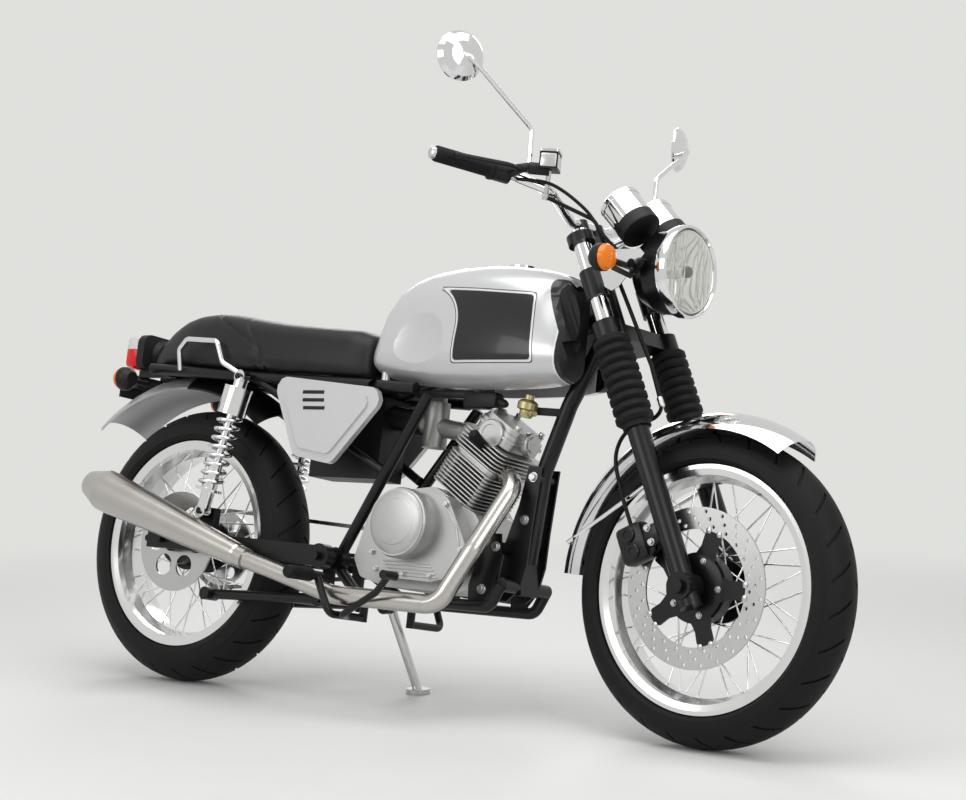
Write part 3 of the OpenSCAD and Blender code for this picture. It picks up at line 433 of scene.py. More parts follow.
# Indicators
# Black round bodies on short stalks with domed amber lenses, at the lamp ears and behind the seat rails.
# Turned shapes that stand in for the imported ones.
def aimed(spot, direction):
    """A place whose local z points along a direction."""
    return Matrix.Translation(spot) @ Vector(direction).to_track_quat("Z", "Y").to_matrix().to_4x4()


def added(bm, fresh, place, finish=0):
    """Put a shape made by itself into a piece, at its place."""
    bmesh.ops.recalc_face_normals(fresh, faces=fresh.faces)
    bmesh.ops.transform(fresh, matrix=place, verts=fresh.verts)
    for face in fresh.faces:
        face.material_index = finish
    mesh = bpy.data.meshes.new("shape")
    fresh.to_mesh(mesh)
    fresh.free()
    bm.from_mesh(mesh)
    bpy.data.meshes.remove(mesh)


def turned(bm, profile, place=Matrix(), steps=40, finish=0):
    """A turned piece: pairs of radius and height, spun once round the local z."""
    fresh = bmesh.new()
    line = [fresh.verts.new((r, 0, h)) for r, h in profile]
    edges = [fresh.edges.new(pair) for pair in zip(line, line[1:])]
    bmesh.ops.spin(fresh, geom=line + edges, cent=(0, 0, 0), axis=(0, 0, 1), angle=2 * pi, steps=steps,
                   use_merge=True)
    bmesh.ops.remove_doubles(fresh, verts=fresh.verts, dist=0.000005)
    added(bm, fresh, place, finish)


def rod(bm, r, low, high, place=Matrix(), steps=20, finish=0):
    """A plain round bar along the local z."""
    turned(bm, ((0, low), (r, low), (r, high), (0, high)), place, steps, finish)


INDICATOR_BODY = ((0, 0), (0.016, 0.001), (0.0245, 0.010), (0.027, 0.018), (0.027, 0.029), (0, 0.029))
INDICATOR_DOME = ((0, 0.0292), (0.0255, 0.0292), (0.0255, 0.034), (0.022, 0.041), (0.013, 0.0452), (0, 0.046))
stalk_r, stalk_gap = 0.0065, 0.012


def indicator_pair(name, back, aim, reach, height, stalk_from, stalk_x, body, place, replaced):
    """Two indicators: bodies with stalks, and their lenses."""
    bodies, lenses = bmesh.new(), bmesh.new()
    for side in (-1, 1):
        spot = aimed((back, side * reach, height), (aim, 0, 0))
        turned(bodies, INDICATOR_BODY, spot)
        turned(lenses, INDICATOR_DOME, spot)
        stalk = aimed((stalk_x, side * stalk_from, height), (0, side, 0))
        rod(bodies, stalk_r, 0, reach - stalk_from - stalk_gap, stalk)
    stands = piece(name + "_bodies", bodies, black_moulding, body, place)
    piece(name + "_lenses", lenses, amber_acrylic, body, place)
    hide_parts(replaced)


indicator_pair("front_indicator", 0.445, 1, 0.166, 0.902, 0.0972, 0.468, "steering", steered,
               "front_indicators")
indicator_pair("rear_indicator", -0.790, -1, 0.160, 0.6618, 0.094, -0.812, "chassis", stance,
               "rear_indicators")

# Engine
# Crankcase, covers and carburettor are die-cast aluminium, left bare and lightly bead blasted.
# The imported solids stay; a domed clutch cover, ribs and hexagon bolts are added.
cast_alloy = surface("cast_alloy", (0.48, 0.48, 0.475), metal=0.85, rough=0.38, peel=0.3, peel_scale=700.0,
                     tint=0.12)
carburettor_alloy = surface("carburettor_alloy", (0.27, 0.27, 0.26), metal=0.7, rough=0.42, peel=0.3,
                            peel_scale=500.0, tint=0.2)
soft_rubber = surface("soft_rubber", (0.005, 0.005, 0.005), rough=0.6, peel=0.4, peel_scale=400.0, shine=0.22)
zinc = surface("zinc_bolt", (0.6, 0.6, 0.6), metal=1.0, rough=0.28, tint=0.1)
dress(cast_alloy, "engine_cases", "engine_covers")
dress(carburettor_alloy, "carburettor")
dress(zinc, "side_stand")
washer_t = 0.0012


def drum(bm, r, length, place, sides):
    """A closed drum about its place, along the local z; gives its corners."""
    return bmesh.ops.create_cone(bm, cap_ends=True, segments=sides, radius1=r, radius2=r, depth=length,
                                 matrix=place)["verts"]


def hex_bolt(bm, spot, direction, across, height):
    """A washer and a chamfered hexagon head."""
    place = aimed(spot, direction)
    rod(bm, across * 0.72, 0, washer_t, place)
    middle = place @ Matrix.Translation((0, 0, washer_t + height / 2))
    head = drum(bm, across / 2 / cos(pi / 6), height, middle, 6)
    softened(bm, edges_of(head), across * 0.06, 1)


crank = Vector((0.017, 0, 0.372))
right_face, left_face, dome_foot = -0.1124, 0.0964, -0.0722
CLUTCH_DOME = ((0.0682, 0.050), (0.0715, 0.052), (0.0715, 0.0745), (0.0695, 0.0805), (0.0640, 0.0850),
               (0.0560, 0.0880), (0.0470, 0.0893), (0.0462, 0.0905), (0.0430, 0.0912), (0, 0.0925),
               (0, 0.0895), (0.0402, 0.0895), (0.0402, 0.0842), (0.0682, 0.0842), (0.0682, 0.050))
rib_size, brace_size = (0.118, 0.0044, 0.0030), (0.060, 0.0050, 0.0042)
covers_bm = bmesh.new()
turned(covers_bm, CLUTCH_DOME, aimed(crank + Vector((0, dome_foot, 0)), (0, -1, 0)), 96)
for rib in range(5):
    low_on_cover = Vector((0.004 + 0.006 * rib, right_face, -0.076 - 0.0068 * rib))
    rounded_bar(covers_bm, crank + low_on_cover, rib_size, 0.0010)
for shift, drop, turn in ((0.106, 0.018, 52), (0.128, -0.026, 74)):
    rounded_bar(covers_bm, crank + Vector((shift, right_face, drop)), brace_size, 0.0014,
                Matrix.Rotation(radians(turn), 4, "Y"))
piece("cover_dome_and_ribs", covers_bm, cast_alloy, "chassis")
RIGHT_BOLTS = ((-0.086, -0.060), (-0.072, -0.094), (0.000, -0.100), (0.068, -0.100), (0.132, -0.082),
               (0.137, -0.044), (0.090, 0.046), (-0.056, 0.060))
LEFT_BOLTS = ((0.085, 0.062), (0.152, 0.036), (0.138, 0.084), (0.030, 0.086), (0.086, -0.052),
              (-0.056, -0.056))
bolts_bm = bmesh.new()
for places, face, side in ((RIGHT_BOLTS, right_face, -1), (LEFT_BOLTS, left_face, 1)):
    for x, z in places:
        hex_bolt(bolts_bm, crank + Vector((x, face, z)), (0, side, 0), 0.010, 0.006)
cylinder = Matrix.Translation((0.072, 0, 0.432)) @ Matrix.Rotation(radians(32), 4, "Y")
bore_up = cylinder.to_3x3() @ Vector((0, 0, 1))
for x in (-0.037, 0.037):
    for y in (-0.043, 0.043):
        hex_bolt(bolts_bm, cylinder @ Vector((x, y, 0.1971)), bore_up, 0.012, 0.009)
piece("engine_bolts", bolts_bm, zinc, "chassis")


# Barrel and head
# Cast aluminium with thin cooling fins round the bore, and a cam box on top with round inspection caps.
# Shallow plates round a core painted dark as the shade between the fins stand in for the imported ones, in
# the same outline.
def plate(bm, size, corner, place, finish=0):
    """A flat plate with round corners, on its local z."""
    fresh = bmesh.new()
    rise = Matrix.Translation((0, 0, size[2] / 2))
    bmesh.ops.create_cube(fresh, size=1.0, matrix=rise @ Matrix.Diagonal((*size, 1)))
    upright_edges = [e for e in fresh.edges if abs(e.verts[0].co.z - e.verts[1].co.z) > size[2] / 2]
    softened(fresh, upright_edges, corner, 5)
    added(bm, fresh, place, finish)


# The core between the fins is painted dark grey: painted shade in the gaps.
fin_shade_alloy = surface("cast_painted_fin_shade", (0.10, 0.10, 0.10), metal=0.4, rough=0.55, peel=0.3, peel_scale=500.0,
                       tint=0.2)
fin_t, fin_step = 0.0024, 0.0080
barrel_foot, barrel_top, head_foot, head_top = 0.010, 0.0958, 0.0972, 0.156
# Each plate: length, width, thickness, corner radius, height up the bore.
BARREL_PLATES = [(0.128, 0.144, fin_t, 0.018, 0.0160 + fin_step * fin) for fin in range(10)]
BARREL_PLATES += [(0.110, 0.124, 0.005, 0.018, 0.0908)]
HEAD_PLATES = [(0.132, 0.148, fin_t, 0.018, 0.1062 + fin_step * fin) for fin in range(6)]
HEAD_PLATES += [(0.118, 0.130, 0.006, 0.018, 0.0962), (0.104, 0.116, 0.030, 0.020, 0.1542),
                (0.112, 0.124, 0.005, 0.022, 0.1700), (0.096, 0.108, 0.0130, 0.022, 0.1840)]
VALVE_CAP = ((0, 0), (0.0255, 0), (0.0255, 0.010), (0.0235, 0.0125), (0.0175, 0.0135), (0.0165, 0.0155),
             (0.0115, 0.0160), (0, 0.0150))
RIGHT_CAP = ((0, 0), (0.030, 0), (0.030, 0.0055), (0.0275, 0.0080), (0.0190, 0.0080), (0.0180, 0.0062),
             (0, 0.0062))
LEFT_CAP = ((0, 0), (0.026, 0), (0.026, 0.006), (0.022, 0.008), (0, 0.008))
PLUG_CAP = ((0, 0), (0.0085, 0), (0.0085, 0.018), (0.0115, 0.020), (0.0115, 0.052), (0.0075, 0.058),
            (0, 0.058))
barrel_bm, head_bm, plug_bm = bmesh.new(), bmesh.new(), bmesh.new()
rod(barrel_bm, 0.048, barrel_foot, barrel_top, cylinder, 40, 1)
rod(head_bm, 0.052, head_foot, head_top, cylinder, 40, 1)
for bm, plates in ((barrel_bm, BARREL_PLATES), (head_bm, HEAD_PLATES)):
    for length, width, thick, corner, height in plates:
        plate(bm, (length, width, thick), corner, cylinder @ Matrix.Translation((0, 0, height)))
for x in (-0.044, 0.044):
    for y in (-0.050, 0.050):
        rod(barrel_bm, 0.009, barrel_foot + 0.002, barrel_top, cylinder @ Matrix.Translation((x, y, 0)))
for sense in (-1, 1):
    turned(head_bm, VALVE_CAP, cylinder @ aimed((0.050 * sense, 0, 0.1782), (sense, 0, 0.577)), 36)
for profile, side in ((RIGHT_CAP, -1), (LEFT_CAP, 1)):
    turned(head_bm, profile, cylinder @ aimed((0, 0.058 * side, 0.1622), (0, side, 0)), 48)
barrel = piece("finned_barrel", barrel_bm, [cast_alloy, fin_shade_alloy], "chassis")
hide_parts("cylinder_barrel")
finned_head = piece("finned_head", head_bm, [cast_alloy, fin_shade_alloy], "chassis")
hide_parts("cylinder_head")
turned(plug_bm, PLUG_CAP, cylinder @ aimed((0.004, -0.060, 0.130), (-0.10, -1, 0.42)), 24)
piece("spark_plug_cap", plug_bm, soft_rubber, "chassis")

# Ignition coil and air valve
# A moulded coil hangs by its strap under the backbone, with its lead going back.
# The brass coloured air valve sits in front of it, on a bracket from the downtube.
coil = Vector((0.115, -0.040, 0.640))
coil_bm, valve_bm = bmesh.new(), bmesh.new()
rounded_bar(coil_bm, coil, (0.085, 0.034, 0.034), 0.008)
rounded_bar(coil_bm, coil + Vector((0, 0.008, 0.044)), (0.020, 0.030, 0.066), 0.003)
rounded_bar(coil_bm, coil + Vector((-0.095, -0.006, 0.012)), (0.150, 0.016, 0.016), 0.006)
turned(coil_bm, ((0, 0), (0.009, 0), (0.009, 0.022), (0.006, 0.030), (0, 0.030)),
       aimed(coil + Vector((0.035, 0, 0)), (1, -0.2, -0.3)), 20)
rounded_bar(coil_bm, (0.262, -0.0225, 0.622), (0.082, 0.006, 0.016), 0.002,
            Matrix.Rotation(radians(18), 4, "Z"))
brass = surface("valve_brass", (0.46, 0.40, 0.20), metal=0.85, rough=0.34, tint=0.15)
VALVE = ((0, 0), (0.012, 0), (0.014, 0.004), (0.014, 0.014), (0.021, 0.017), (0.021, 0.030), (0.016, 0.035),
         (0.010, 0.037), (0.010, 0.046), (0, 0.046))
VALVE_SPOUT = ((0, 0), (0.007, 0), (0.007, 0.022), (0.005, 0.024), (0.005, 0.034), (0, 0.034))
valve_place = aimed((0.226, -0.044, 0.606), (0.15, 0, 1))
turned(valve_bm, VALVE, valve_place, 32)
turned(valve_bm, VALVE_SPOUT, valve_place @ aimed((0, 0, 0.010), (-0.4, -1, 0)), 20)
piece("ignition_coil", coil_bm, black_moulding, "chassis")
piece("air_valve", valve_bm, brass, "chassis")


# Engine plates
# Two pressed steel plates, bolted to the crankcase and through spacers to the end of the downtube; black.
def outline(bm, points, thick, place, finish=0):
    """A flat blank of any outline, pressed from sheet: corners on the local x and y, thickness on z."""
    fresh = bmesh.new()
    face = fresh.faces.new([fresh.verts.new((x, y, 0)) for x, y in points])
    made = bmesh.ops.extrude_face_region(fresh, geom=[face])
    raised = [v for v in made["geom"] if isinstance(v, bmesh.types.BMVert)]
    bmesh.ops.translate(fresh, vec=(0, 0, thick), verts=raised)
    added(bm, fresh, place, finish)


def flank_plate(bm, points, thick, outer, side, finish=0):
    """A plate on one flank, corners on the machine's x and z, its outer face so far from the middle."""
    left_side = Vector((0, outer if side > 0 else thick - outer, 0))
    place = Matrix.Translation(left_side) @ Matrix.Rotation(pi / 2, 4, "X")
    outline(bm, points, thick, place, finish)


OUTER_PLATE = ((0.222, 0.368), (0.228, 0.320), (0.220, 0.262), (0.196, 0.230), (0.160, 0.226), (0.156, 0.262),
               (0.186, 0.368))
INNER_PLATE = ((0.272, 0.510), (0.264, 0.380), (0.262, 0.312), (0.250, 0.262), (0.222, 0.238), (0.196, 0.238),
               (0.204, 0.352), (0.228, 0.430), (0.242, 0.510))
engine_plate_t, spacer_r = 0.005, 0.011
# Each plate: outline, distance of its outer face from the middle, bolts.
ENGINE_PLATES = ((OUTER_PLATE, 0.0772, ((0.214, 0.342), (0.190, 0.256))),
                 (INNER_PLATE, 0.0352, ((0.256, 0.488), (0.246, 0.402))))
plates_bm, plate_bolts_bm = bmesh.new(), bmesh.new()
for side in (-1, 1):
    for shape, outer, bolts in ENGINE_PLATES:
        flank_plate(plates_bm, shape, engine_plate_t, outer, side)
        for x, z in bolts:
            hex_bolt(plate_bolts_bm, (x, side * outer, z), (0, side, 0), 0.014, 0.007)
for x, z, half in ((0.2175, 0.342, 0.0721), (0.256, 0.488, 0.0301)):
    rod(plates_bm, spacer_r, -half, half, aimed((x, 0, z), (0, 1, 0)), 24)
piece("engine_plates", plates_bm, black_coat, "chassis")
piece("engine_plate_bolts", plate_bolts_bm, zinc, "chassis")

# Exhaust
# Bent and welded stainless tube with a tapered silencer, brushed and faintly straw tinted.
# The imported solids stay.
brushed = surface("brushed_stainless", (0.52, 0.50, 0.475), metal=1.0, rough=0.26, vary=0.06, tint=0.12)
dress(brushed, "exhaust_pipe", "muffler")


# Shock absorbers
# Coil springs of chromed wire over the damper bodies, between the top shroud and the lower collar.
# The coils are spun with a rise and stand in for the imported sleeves.
shock_low, shock_top = Vector((-0.540, 0.136, 0.372)), Vector((-0.482, 0.128, 0.672))
spring_from, spring_cut = 0.0522, 0.1384
coil_r, wire_r, coils, coil_steps = 0.0245, 0.0042, 8, 26
springs_bm = bmesh.new()
wire_place = Matrix.Translation((coil_r, 0, 0)) @ Matrix.Rotation(pi / 2, 4, "X")
for side in (-1, 1):
    low, top = mirrored(shock_low, side), mirrored(shock_top, side)
    rise = (top - low).length - spring_cut - 2 * wire_r
    ring = bmesh.ops.create_circle(springs_bm, segments=10, radius=wire_r, matrix=wire_place)["verts"]
    first = edges_of(ring)
    made = bmesh.ops.spin(springs_bm, geom=ring + first, cent=(0, 0, 0), axis=(0, 0, 1), angle=coils * 2 * pi,
                          dvec=(0, 0, rise / (coils * coil_steps)), steps=coils * coil_steps)
    last = [e for e in made["geom_last"] if isinstance(e, bmesh.types.BMEdge)]
    bmesh.ops.edgeloop_fill(springs_bm, edges=first)
    bmesh.ops.edgeloop_fill(springs_bm, edges=last)
    loose = [v for v in springs_bm.verts if not v.tag]
    spring_place = aimed(low, top - low) @ Matrix.Translation((0, 0, spring_from + wire_r))
    bmesh.ops.transform(springs_bm, matrix=spring_place, verts=loose)
    for v in loose:
        v.tag = True
bmesh.ops.recalc_face_normals(springs_bm, faces=springs_bm.faces)
springs = piece("coil_springs", springs_bm, chrome, "chassis", crease=60)
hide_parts("shock_springs")

# Drive chain
# Roller chain: pairs of plates on rollers, closed round the rear sprocket and the gearbox sprocket.
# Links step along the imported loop's middle line and stand in for it, with the small sprocket.
chain_y = 0.081
sprocket_r, gearbox_r = 0.084, 0.038
gearbox = Vector((-0.128, 0.325))
wheel_hub = Vector((rear_axle.x, rear_axle.z))
roller_lift = 0.00525
link_count = 92
span = gearbox - wheel_hub
heading = atan2(span.y, span.x)
wrap = acos((sprocket_r - gearbox_r) / span.length)
RUNS = ((wheel_hub, sprocket_r + roller_lift, heading + wrap, 2 * pi - 2 * wrap),
        (gearbox, gearbox_r + roller_lift, heading - wrap, 2 * wrap))
straight = span.length * sin(wrap)
loop_length = sum(r * sweep for _, r, _, sweep in RUNS) + 2 * straight


def chain_spot(distance):
    """Where the chain's middle line is, a distance round its loop."""
    for centre, r, start, sweep in RUNS:
        if distance <= r * sweep:
            angle = start + distance / r
            return centre + r * Vector((cos(angle), sin(angle)))
        distance -= r * sweep
        if distance <= straight:
            angle = start + sweep
            onward = Vector((-sin(angle), cos(angle)))
            return centre + r * Vector((cos(angle), sin(angle))) + distance * onward
        distance -= straight
    return chain_spot(0)


chain_steel = surface("chain_steel", (0.24, 0.23, 0.21), metal=1.0, rough=0.34, tint=0.25)
chain_bm = bmesh.new()
pitch = loop_length / link_count
link_shape = Matrix.Diagonal((pitch + 0.0068, 0.0014, 0.0082, 1))
link_round, pin_r, pin_length, gear_foot = 0.0034, 0.0036, 0.013, 0.0722
for link in range(link_count):
    a, b = chain_spot(link * pitch), chain_spot((link + 1) * pitch % loop_length)
    middle = (a + b) / 2
    turn = Matrix.Rotation(-atan2(b.y - a.y, b.x - a.x), 4, "Y")
    apart = 0.0056 if link % 2 else 0.0040
    for side in (-1, 1):
        link_place = Matrix.Translation((middle.x, chain_y + side * apart, middle.y)) @ turn @ link_shape
        corners = bmesh.ops.create_cube(chain_bm, size=1.0, matrix=link_place)["verts"]
        ends = [e for e in edges_of(corners) if abs((e.verts[0].co - e.verts[1].co).y) > 0.001]
        softened(chain_bm, ends, link_round, 2)
    pin_place = Matrix.Translation((a.x, chain_y, a.y)) @ Matrix.Rotation(pi / 2, 4, "X")
    drum(chain_bm, pin_r, pin_length, pin_place, 10)
turned(chain_bm, ((0, 0), (0.014, 0), (0.014, 0.0060), (0.0375, 0.0060), (0.0375, 0.0118), (0, 0.0118)),
       aimed((gearbox.x, gear_foot, gearbox.y), (0, 1, 0)), 30)
chain = piece("drive_chain", chain_bm, chain_steel, "chassis")
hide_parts("chain")

# Foot controls
# Black steel brackets, pedal and lever with moulded rubber pegs, ribbed for grip.
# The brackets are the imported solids; the pegs are turned with ribs in place of the plain rods.
dress(black_coat, "foot_controls")
peg = Vector((-0.140, 0.196, 0.250))
peg_from, peg_to, peg_r, peg_ribs = 0.0162, 0.090, 0.014, 9
pegs_bm = bmesh.new()
peg_profile = [(0, 0), (0.0125, 0)]
for rib in range(peg_ribs):
    base = 0.003 + rib * (peg_to - peg_from - 0.008) / peg_ribs
    peg_profile += [(0.0118, base), (peg_r, base + 0.0016), (peg_r, base + 0.0052), (0.0118, base + 0.0066)]
peg_profile += [(0.013, peg_to - peg_from - 0.003), (0.011, peg_to - peg_from), (0, peg_to - peg_from)]
for side in (-1, 1):
    turned(pegs_bm, peg_profile, aimed((peg.x, side * (peg.y + peg_from), peg.z), (0, side, 0)), 32)
pegs = piece("peg_rubbers", pegs_bm, soft_rubber, "chassis")
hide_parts("foot_rubbers")

# Fork
# Black sliders below ribbed rubber gaiters, carried in black yokes on plated stanchions.
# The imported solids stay, but for the two-piston caliper behind the right leg.
dress(soft_rubber, "fork_gaiters", "brake_hose")
dress(black_coat, "fork_sliders")
# Each block of the caliper on the fork: place, size, corner.
CALIPER_BLOCKS = (((-0.0765, -0.0915, 0.1160), (0.0620, 0.0400, 0.0750), 0.011),
                  ((-0.0985, -0.0790, 0.1400), (0.0170, 0.0420, 0.0260), 0.005),
                  ((-0.0400, -0.0985, 0.1160), (0.0580, 0.0150, 0.0400), 0.005))
PISTON_CAP = ((0, 0), (0.0150, 0), (0.0150, 0.0040), (0.0130, 0.0060), (0.0075, 0.0060), (0.0065, 0.0040),
              (0, 0.0040))
caliper_bm, caliper_bolts_bm = bmesh.new(), bmesh.new()
for spot, size, corner in CALIPER_BLOCKS:
    rounded_bar(caliper_bm, spot, size, corner)
for piston, bolt in ((0.099, 0.102), (0.133, 0.130)):
    turned(caliper_bm, PISTON_CAP, aimed((-0.0765, -0.1110, piston), (0, -1, 0)), 32)
    hex_bolt(caliper_bolts_bm, (-0.0350, -0.1060, bolt), (0, -1, 0), 0.010, 0.006)
caliper = piece("brake_caliper", caliper_bm, black_coat, "steering", fork)
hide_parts("front_caliper")
piece("brake_caliper_bolts", caliper_bolts_bm, zinc, "steering", fork)

# Grips
# Ribbed rubber sleeves on the bar ends, closed by turned alloy weights.
# The sleeves are turned in place of the plain ones.
bar_bend, bar_end = Vector((0.276, 0.210, 1.0625)), Vector((0.206, 0.372, 1.076))
grip_dir = (bar_end - bar_bend).normalized()
grip_length, grip_back, grip_r, grip_bore, grip_ribs = 0.126, 0.122, 0.016, 0.0113, 22
satin_alloy = surface("satin_alloy", (0.62, 0.62, 0.63), metal=1.0, rough=0.24, tint=0.05)
grips_bm, weights_bm = bmesh.new(), bmesh.new()
grip_profile = [(grip_bore, 0), (0.020, 0), (0.020, 0.006), (grip_r, 0.0085)]
for rib in range(grip_ribs):
    base = 0.010 + rib * (grip_length - 0.020) / grip_ribs
    grip_profile += [(grip_r - 0.0009, base), (grip_r, base + 0.0010), (grip_r, base + 0.0032)]
grip_profile += [(grip_r, grip_length - 0.004), (0.0145, grip_length), (grip_bore, grip_length),
                 (grip_bore, 0)]
BAR_WEIGHT = ((0, 0), (0.010, 0), (0.010, 0.0042), (0.0125, 0.0044), (0.0125, 0.011), (0.009, 0.0135),
              (0, 0.0135))
for side in (-1, 1):
    away, end = mirrored(grip_dir, side), mirrored(bar_end, side)
    turned(grips_bm, grip_profile, aimed(end - away * grip_back, away), 36)
    turned(weights_bm, BAR_WEIGHT, aimed(end + away * 0.0002, away), 28)
grips = piece("grip_sleeves", grips_bm, soft_rubber, "steering", steered)
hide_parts("grips")
piece("bar_end_weights", weights_bm, satin_alloy, "steering", steered)

# Control cables
# Rubber sheathed steel cables in easy bends, from the lever clamps down past the gauges to the lamp bucket.
# The brake hose goes on from its union above the front mudguard, round behind the right leg into the caliper.
CABLE = ((0.285, 0.222, 1.056), (0.335, 0.172, 1.052), (0.385, 0.125, 1.010), (0.418, 0.104, 0.962),
         (0.452, 0.078, 0.925), (0.480, 0.056, 0.908))
LOWER_HOSE = ((0.0400, -0.0520, 0.3640), (0.0330, -0.0500, 0.3500), (0.0120, -0.0460, 0.3440),
              (-0.0250, -0.0470, 0.3460), (-0.0560, -0.0620, 0.3340), (-0.0720, -0.0850, 0.2900),
              (-0.0765, -0.0915, 0.2200), (-0.0765, -0.0915, 0.1500))


def smooth_route(knots, steps=8):
    """Points along a curve that bends easily through all its knots."""
    ends = [2 * knots[0] - knots[1]] + knots + [2 * knots[-1] - knots[-2]]
    points = []
    for a, b, c, d in zip(ends, ends[1:], ends[2:], ends[3:]):
        for t in [step / steps for step in range(steps)]:
            bend, twist = 2 * a - 5 * b + 4 * c - d, 3 * b - a - 3 * c + d
            points.append((2 * b + (c - a) * t + bend * t ** 2 + twist * t ** 3) / 2)
    return points + [knots[-1]]


# Each cable or hose: name, thickness, knots.
LINES = (("throttle_cable", 0.007, [steered @ Vector((x, -y, z)) for x, y, z in CABLE]),
         ("clutch_cable", 0.007, [steered @ Vector(spot) for spot in CABLE]),
         ("lower_brake_hose", 0.008, [fork @ Vector(spot) for spot in LOWER_HOSE]))
for name, cable_d, knots in LINES:
    route = smooth_route(knots)
    curve = bpy.data.curves.new(name, "CURVE")
    curve.dimensions = "3D"
    curve.bevel_depth = cable_d / 2
    curve.bevel_resolution = 3
    curve.use_fill_caps = True
    spline = curve.splines.new("POLY")
    spline.points.add(len(route) - 1)
    for point, spot in zip(spline.points, route):
        point.co = (*spot, 1)
    curve.materials.append(soft_rubber)
    cable = shown(name, curve)
    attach(cable, "steering")
    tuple(route[0])
    sum((b - a).length for a, b in zip(route, route[1:]))

# Brake reservoir
# A cast master cylinder with a flat lid and two screws, on the right of the bar by the black clamp.
# A plated banjo under it takes the brake hose, and a ferrule joins the hose's two lengths.
reservoir_place = steered @ Matrix.Translation((0.337, -0.186, 1.086)) @ Matrix.Rotation(radians(30), 4, "Z")
LID_SCREW = ((0, 0), (0.0038, 0), (0.0038, 0.0014), (0.0028, 0.0022), (0, 0.0022))
reservoir_bm, banjo_bm, ferrule_bm = bmesh.new(), bmesh.new(), bmesh.new()
rounded_bar(reservoir_bm, (0, 0, 0.0065), (0.0372, 0.0492, 0.0330), 0.005)
plate(reservoir_bm, (0.0400, 0.0520, 0.0050), 0.006, Matrix.Translation((0, 0, 0.0232)))
for y in (-0.018, 0.018):
    turned(reservoir_bm, LID_SCREW, Matrix.Translation((0, y, 0.0281)), 18)
piece("brake_reservoir", reservoir_bm, satin_alloy, "steering", reservoir_place)
hose_top = Vector((0.318, -0.168, 1.030))
banjo_way = Vector((0.334, -0.183, 1.080)) - hose_top
turned(banjo_bm, ((0, -0.0070), (0.0062, -0.0060), (0.0074, 0), (0.0062, 0.0060), (0.0050, 0.0066),
                  (0.0050, banjo_way.length), (0, banjo_way.length)), aimed(hose_top, banjo_way), 24)
turned(ferrule_bm, ((0, 0), (0.0052, 0), (0.0062, 0.0020), (0.0062, 0.0180), (0.0052, 0.0200), (0, 0.0200)),
       aimed((0.0402, -0.0520, 0.3540), (0, 0, 1)), 24)
piece("brake_hose_banjo", banjo_bm, zinc, "steering", steered)
piece("brake_hose_ferrule", ferrule_bm, zinc, "steering", fork)

# Lamp ears
# Plated steel brackets from the fork legs to the headlamp bucket, each with the shade of a pressed slot
# painted on as a thin black plate.
EAR = ((0.396, 0.934), (0.506, 0.931), (0.517, 0.921), (0.462, 0.858), (0.446, 0.851), (0.404, 0.872))
EAR_SLOT_SHADE = ((0.448, 0.902), (0.496, 0.880), (0.490, 0.872), (0.440, 0.893))
ears_bm = bmesh.new()
for side in (-1, 1):
    flank_plate(ears_bm, EAR, 0.0016, 0.0988, side)
    # The thin black plate on each ear is painted shade in the pressed slot.
    flank_plate(ears_bm, EAR_SLOT_SHADE, 0.0006, 0.0994, side, 1)
piece("lamp_ears", ears_bm, [chrome, black_moulding], "steering", steered)

# Mirrors
# Round plated shells on bent stems; each holds a silvered glass facing the rider.
mirror_head = Vector((0.241, 0.370, 1.265))
mirror_turn = radians(24)
silvered = surface("silvered_glass", (0.86, 0.87, 0.88), metal=1.0, rough=0.03, vary=0.01, tint=0.01)
glass_bm = bmesh.new()
for side in (-1, 1):
    facing = Vector((-cos(mirror_turn), -side * sin(mirror_turn), 0))
    spot = mirrored(mirror_head, side) + facing * 0.0031
    turned(glass_bm, ((0, 0), (0.0445, 0), (0.0445, 0.0004), (0, 0.0009)), aimed(spot, facing), 56)
piece("mirror_glass", glass_bm, silvered, "steering", steered)

# Headlamp
# Black bucket with a plated rim, a faceted reflector and a bulb behind its shield, and a fluted, domed glass.
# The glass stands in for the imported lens; rim, reflector, bulb and shield are turned.
dress(black_coat, "headlamp")
lamp, lamp_r = Vector((0.557, 0, 0.902)), 0.089
lamp_place = steered @ aimed(lamp, (1, 0, 0))
lamp_glass = surface("lamp_glass", (0.97, 0.975, 0.97), rough=0.03, vary=0.01, tint=0.01)
lamp_shader = lamp_glass.node_tree.nodes["Principled BSDF"]
lamp_shader.inputs["Transmission Weight"].default_value = 0.92
lamp_shader.inputs["IOR"].default_value = 1.3
reflector = surface("reflector", (0.86, 0.86, 0.80), metal=1.0, rough=0.10, tint=0.12)
bulb_glass = surface("bulb_glass", (0.95, 0.93, 0.86), rough=0.08, coat=1.0, tint=0.05)
RIM = ((lamp_r - 0.0055, 0.0002), (lamp_r - 0.0035, 0.0042), (lamp_r + 0.0005, 0.0040),
       (lamp_r + 0.0028, -0.001), (lamp_r + 0.0024, -0.014), (lamp_r + 0.0002, -0.0205),
       (lamp_r + 0.0002, 0.0002), (lamp_r - 0.0055, 0.0002))
BOWL = ((0.010, -0.0214), (0.026, -0.0200), (0.046, -0.0150), (0.066, -0.0075), (lamp_r - 0.0068, -0.0004))
BULB = ((0, -0.0212), (0.010, -0.0212), (0.010, -0.014), (0.0065, -0.011), (0.0065, -0.004), (0.004, 0.0),
        (0, 0.0012))
LENS = ((0, 0.0105), (0.030, 0.0098), (0.055, 0.0076), (0.072, 0.0044), (lamp_r - 0.0062, 0.0002),
        (lamp_r - 0.0062, -0.0018), (0.072, 0.0024), (0.055, 0.0056), (0.030, 0.0078), (0, 0.0085))
SHIELD = ((0, 0.0016), (0.0085, 0.0006), (0.0115, -0.0040), (0.0115, -0.0100), (0.0105, -0.0100),
          (0.0105, -0.0042), (0.0078, -0.0004), (0, 0.0006))
flute_step, flute_reach = 0.0105, 0.0755



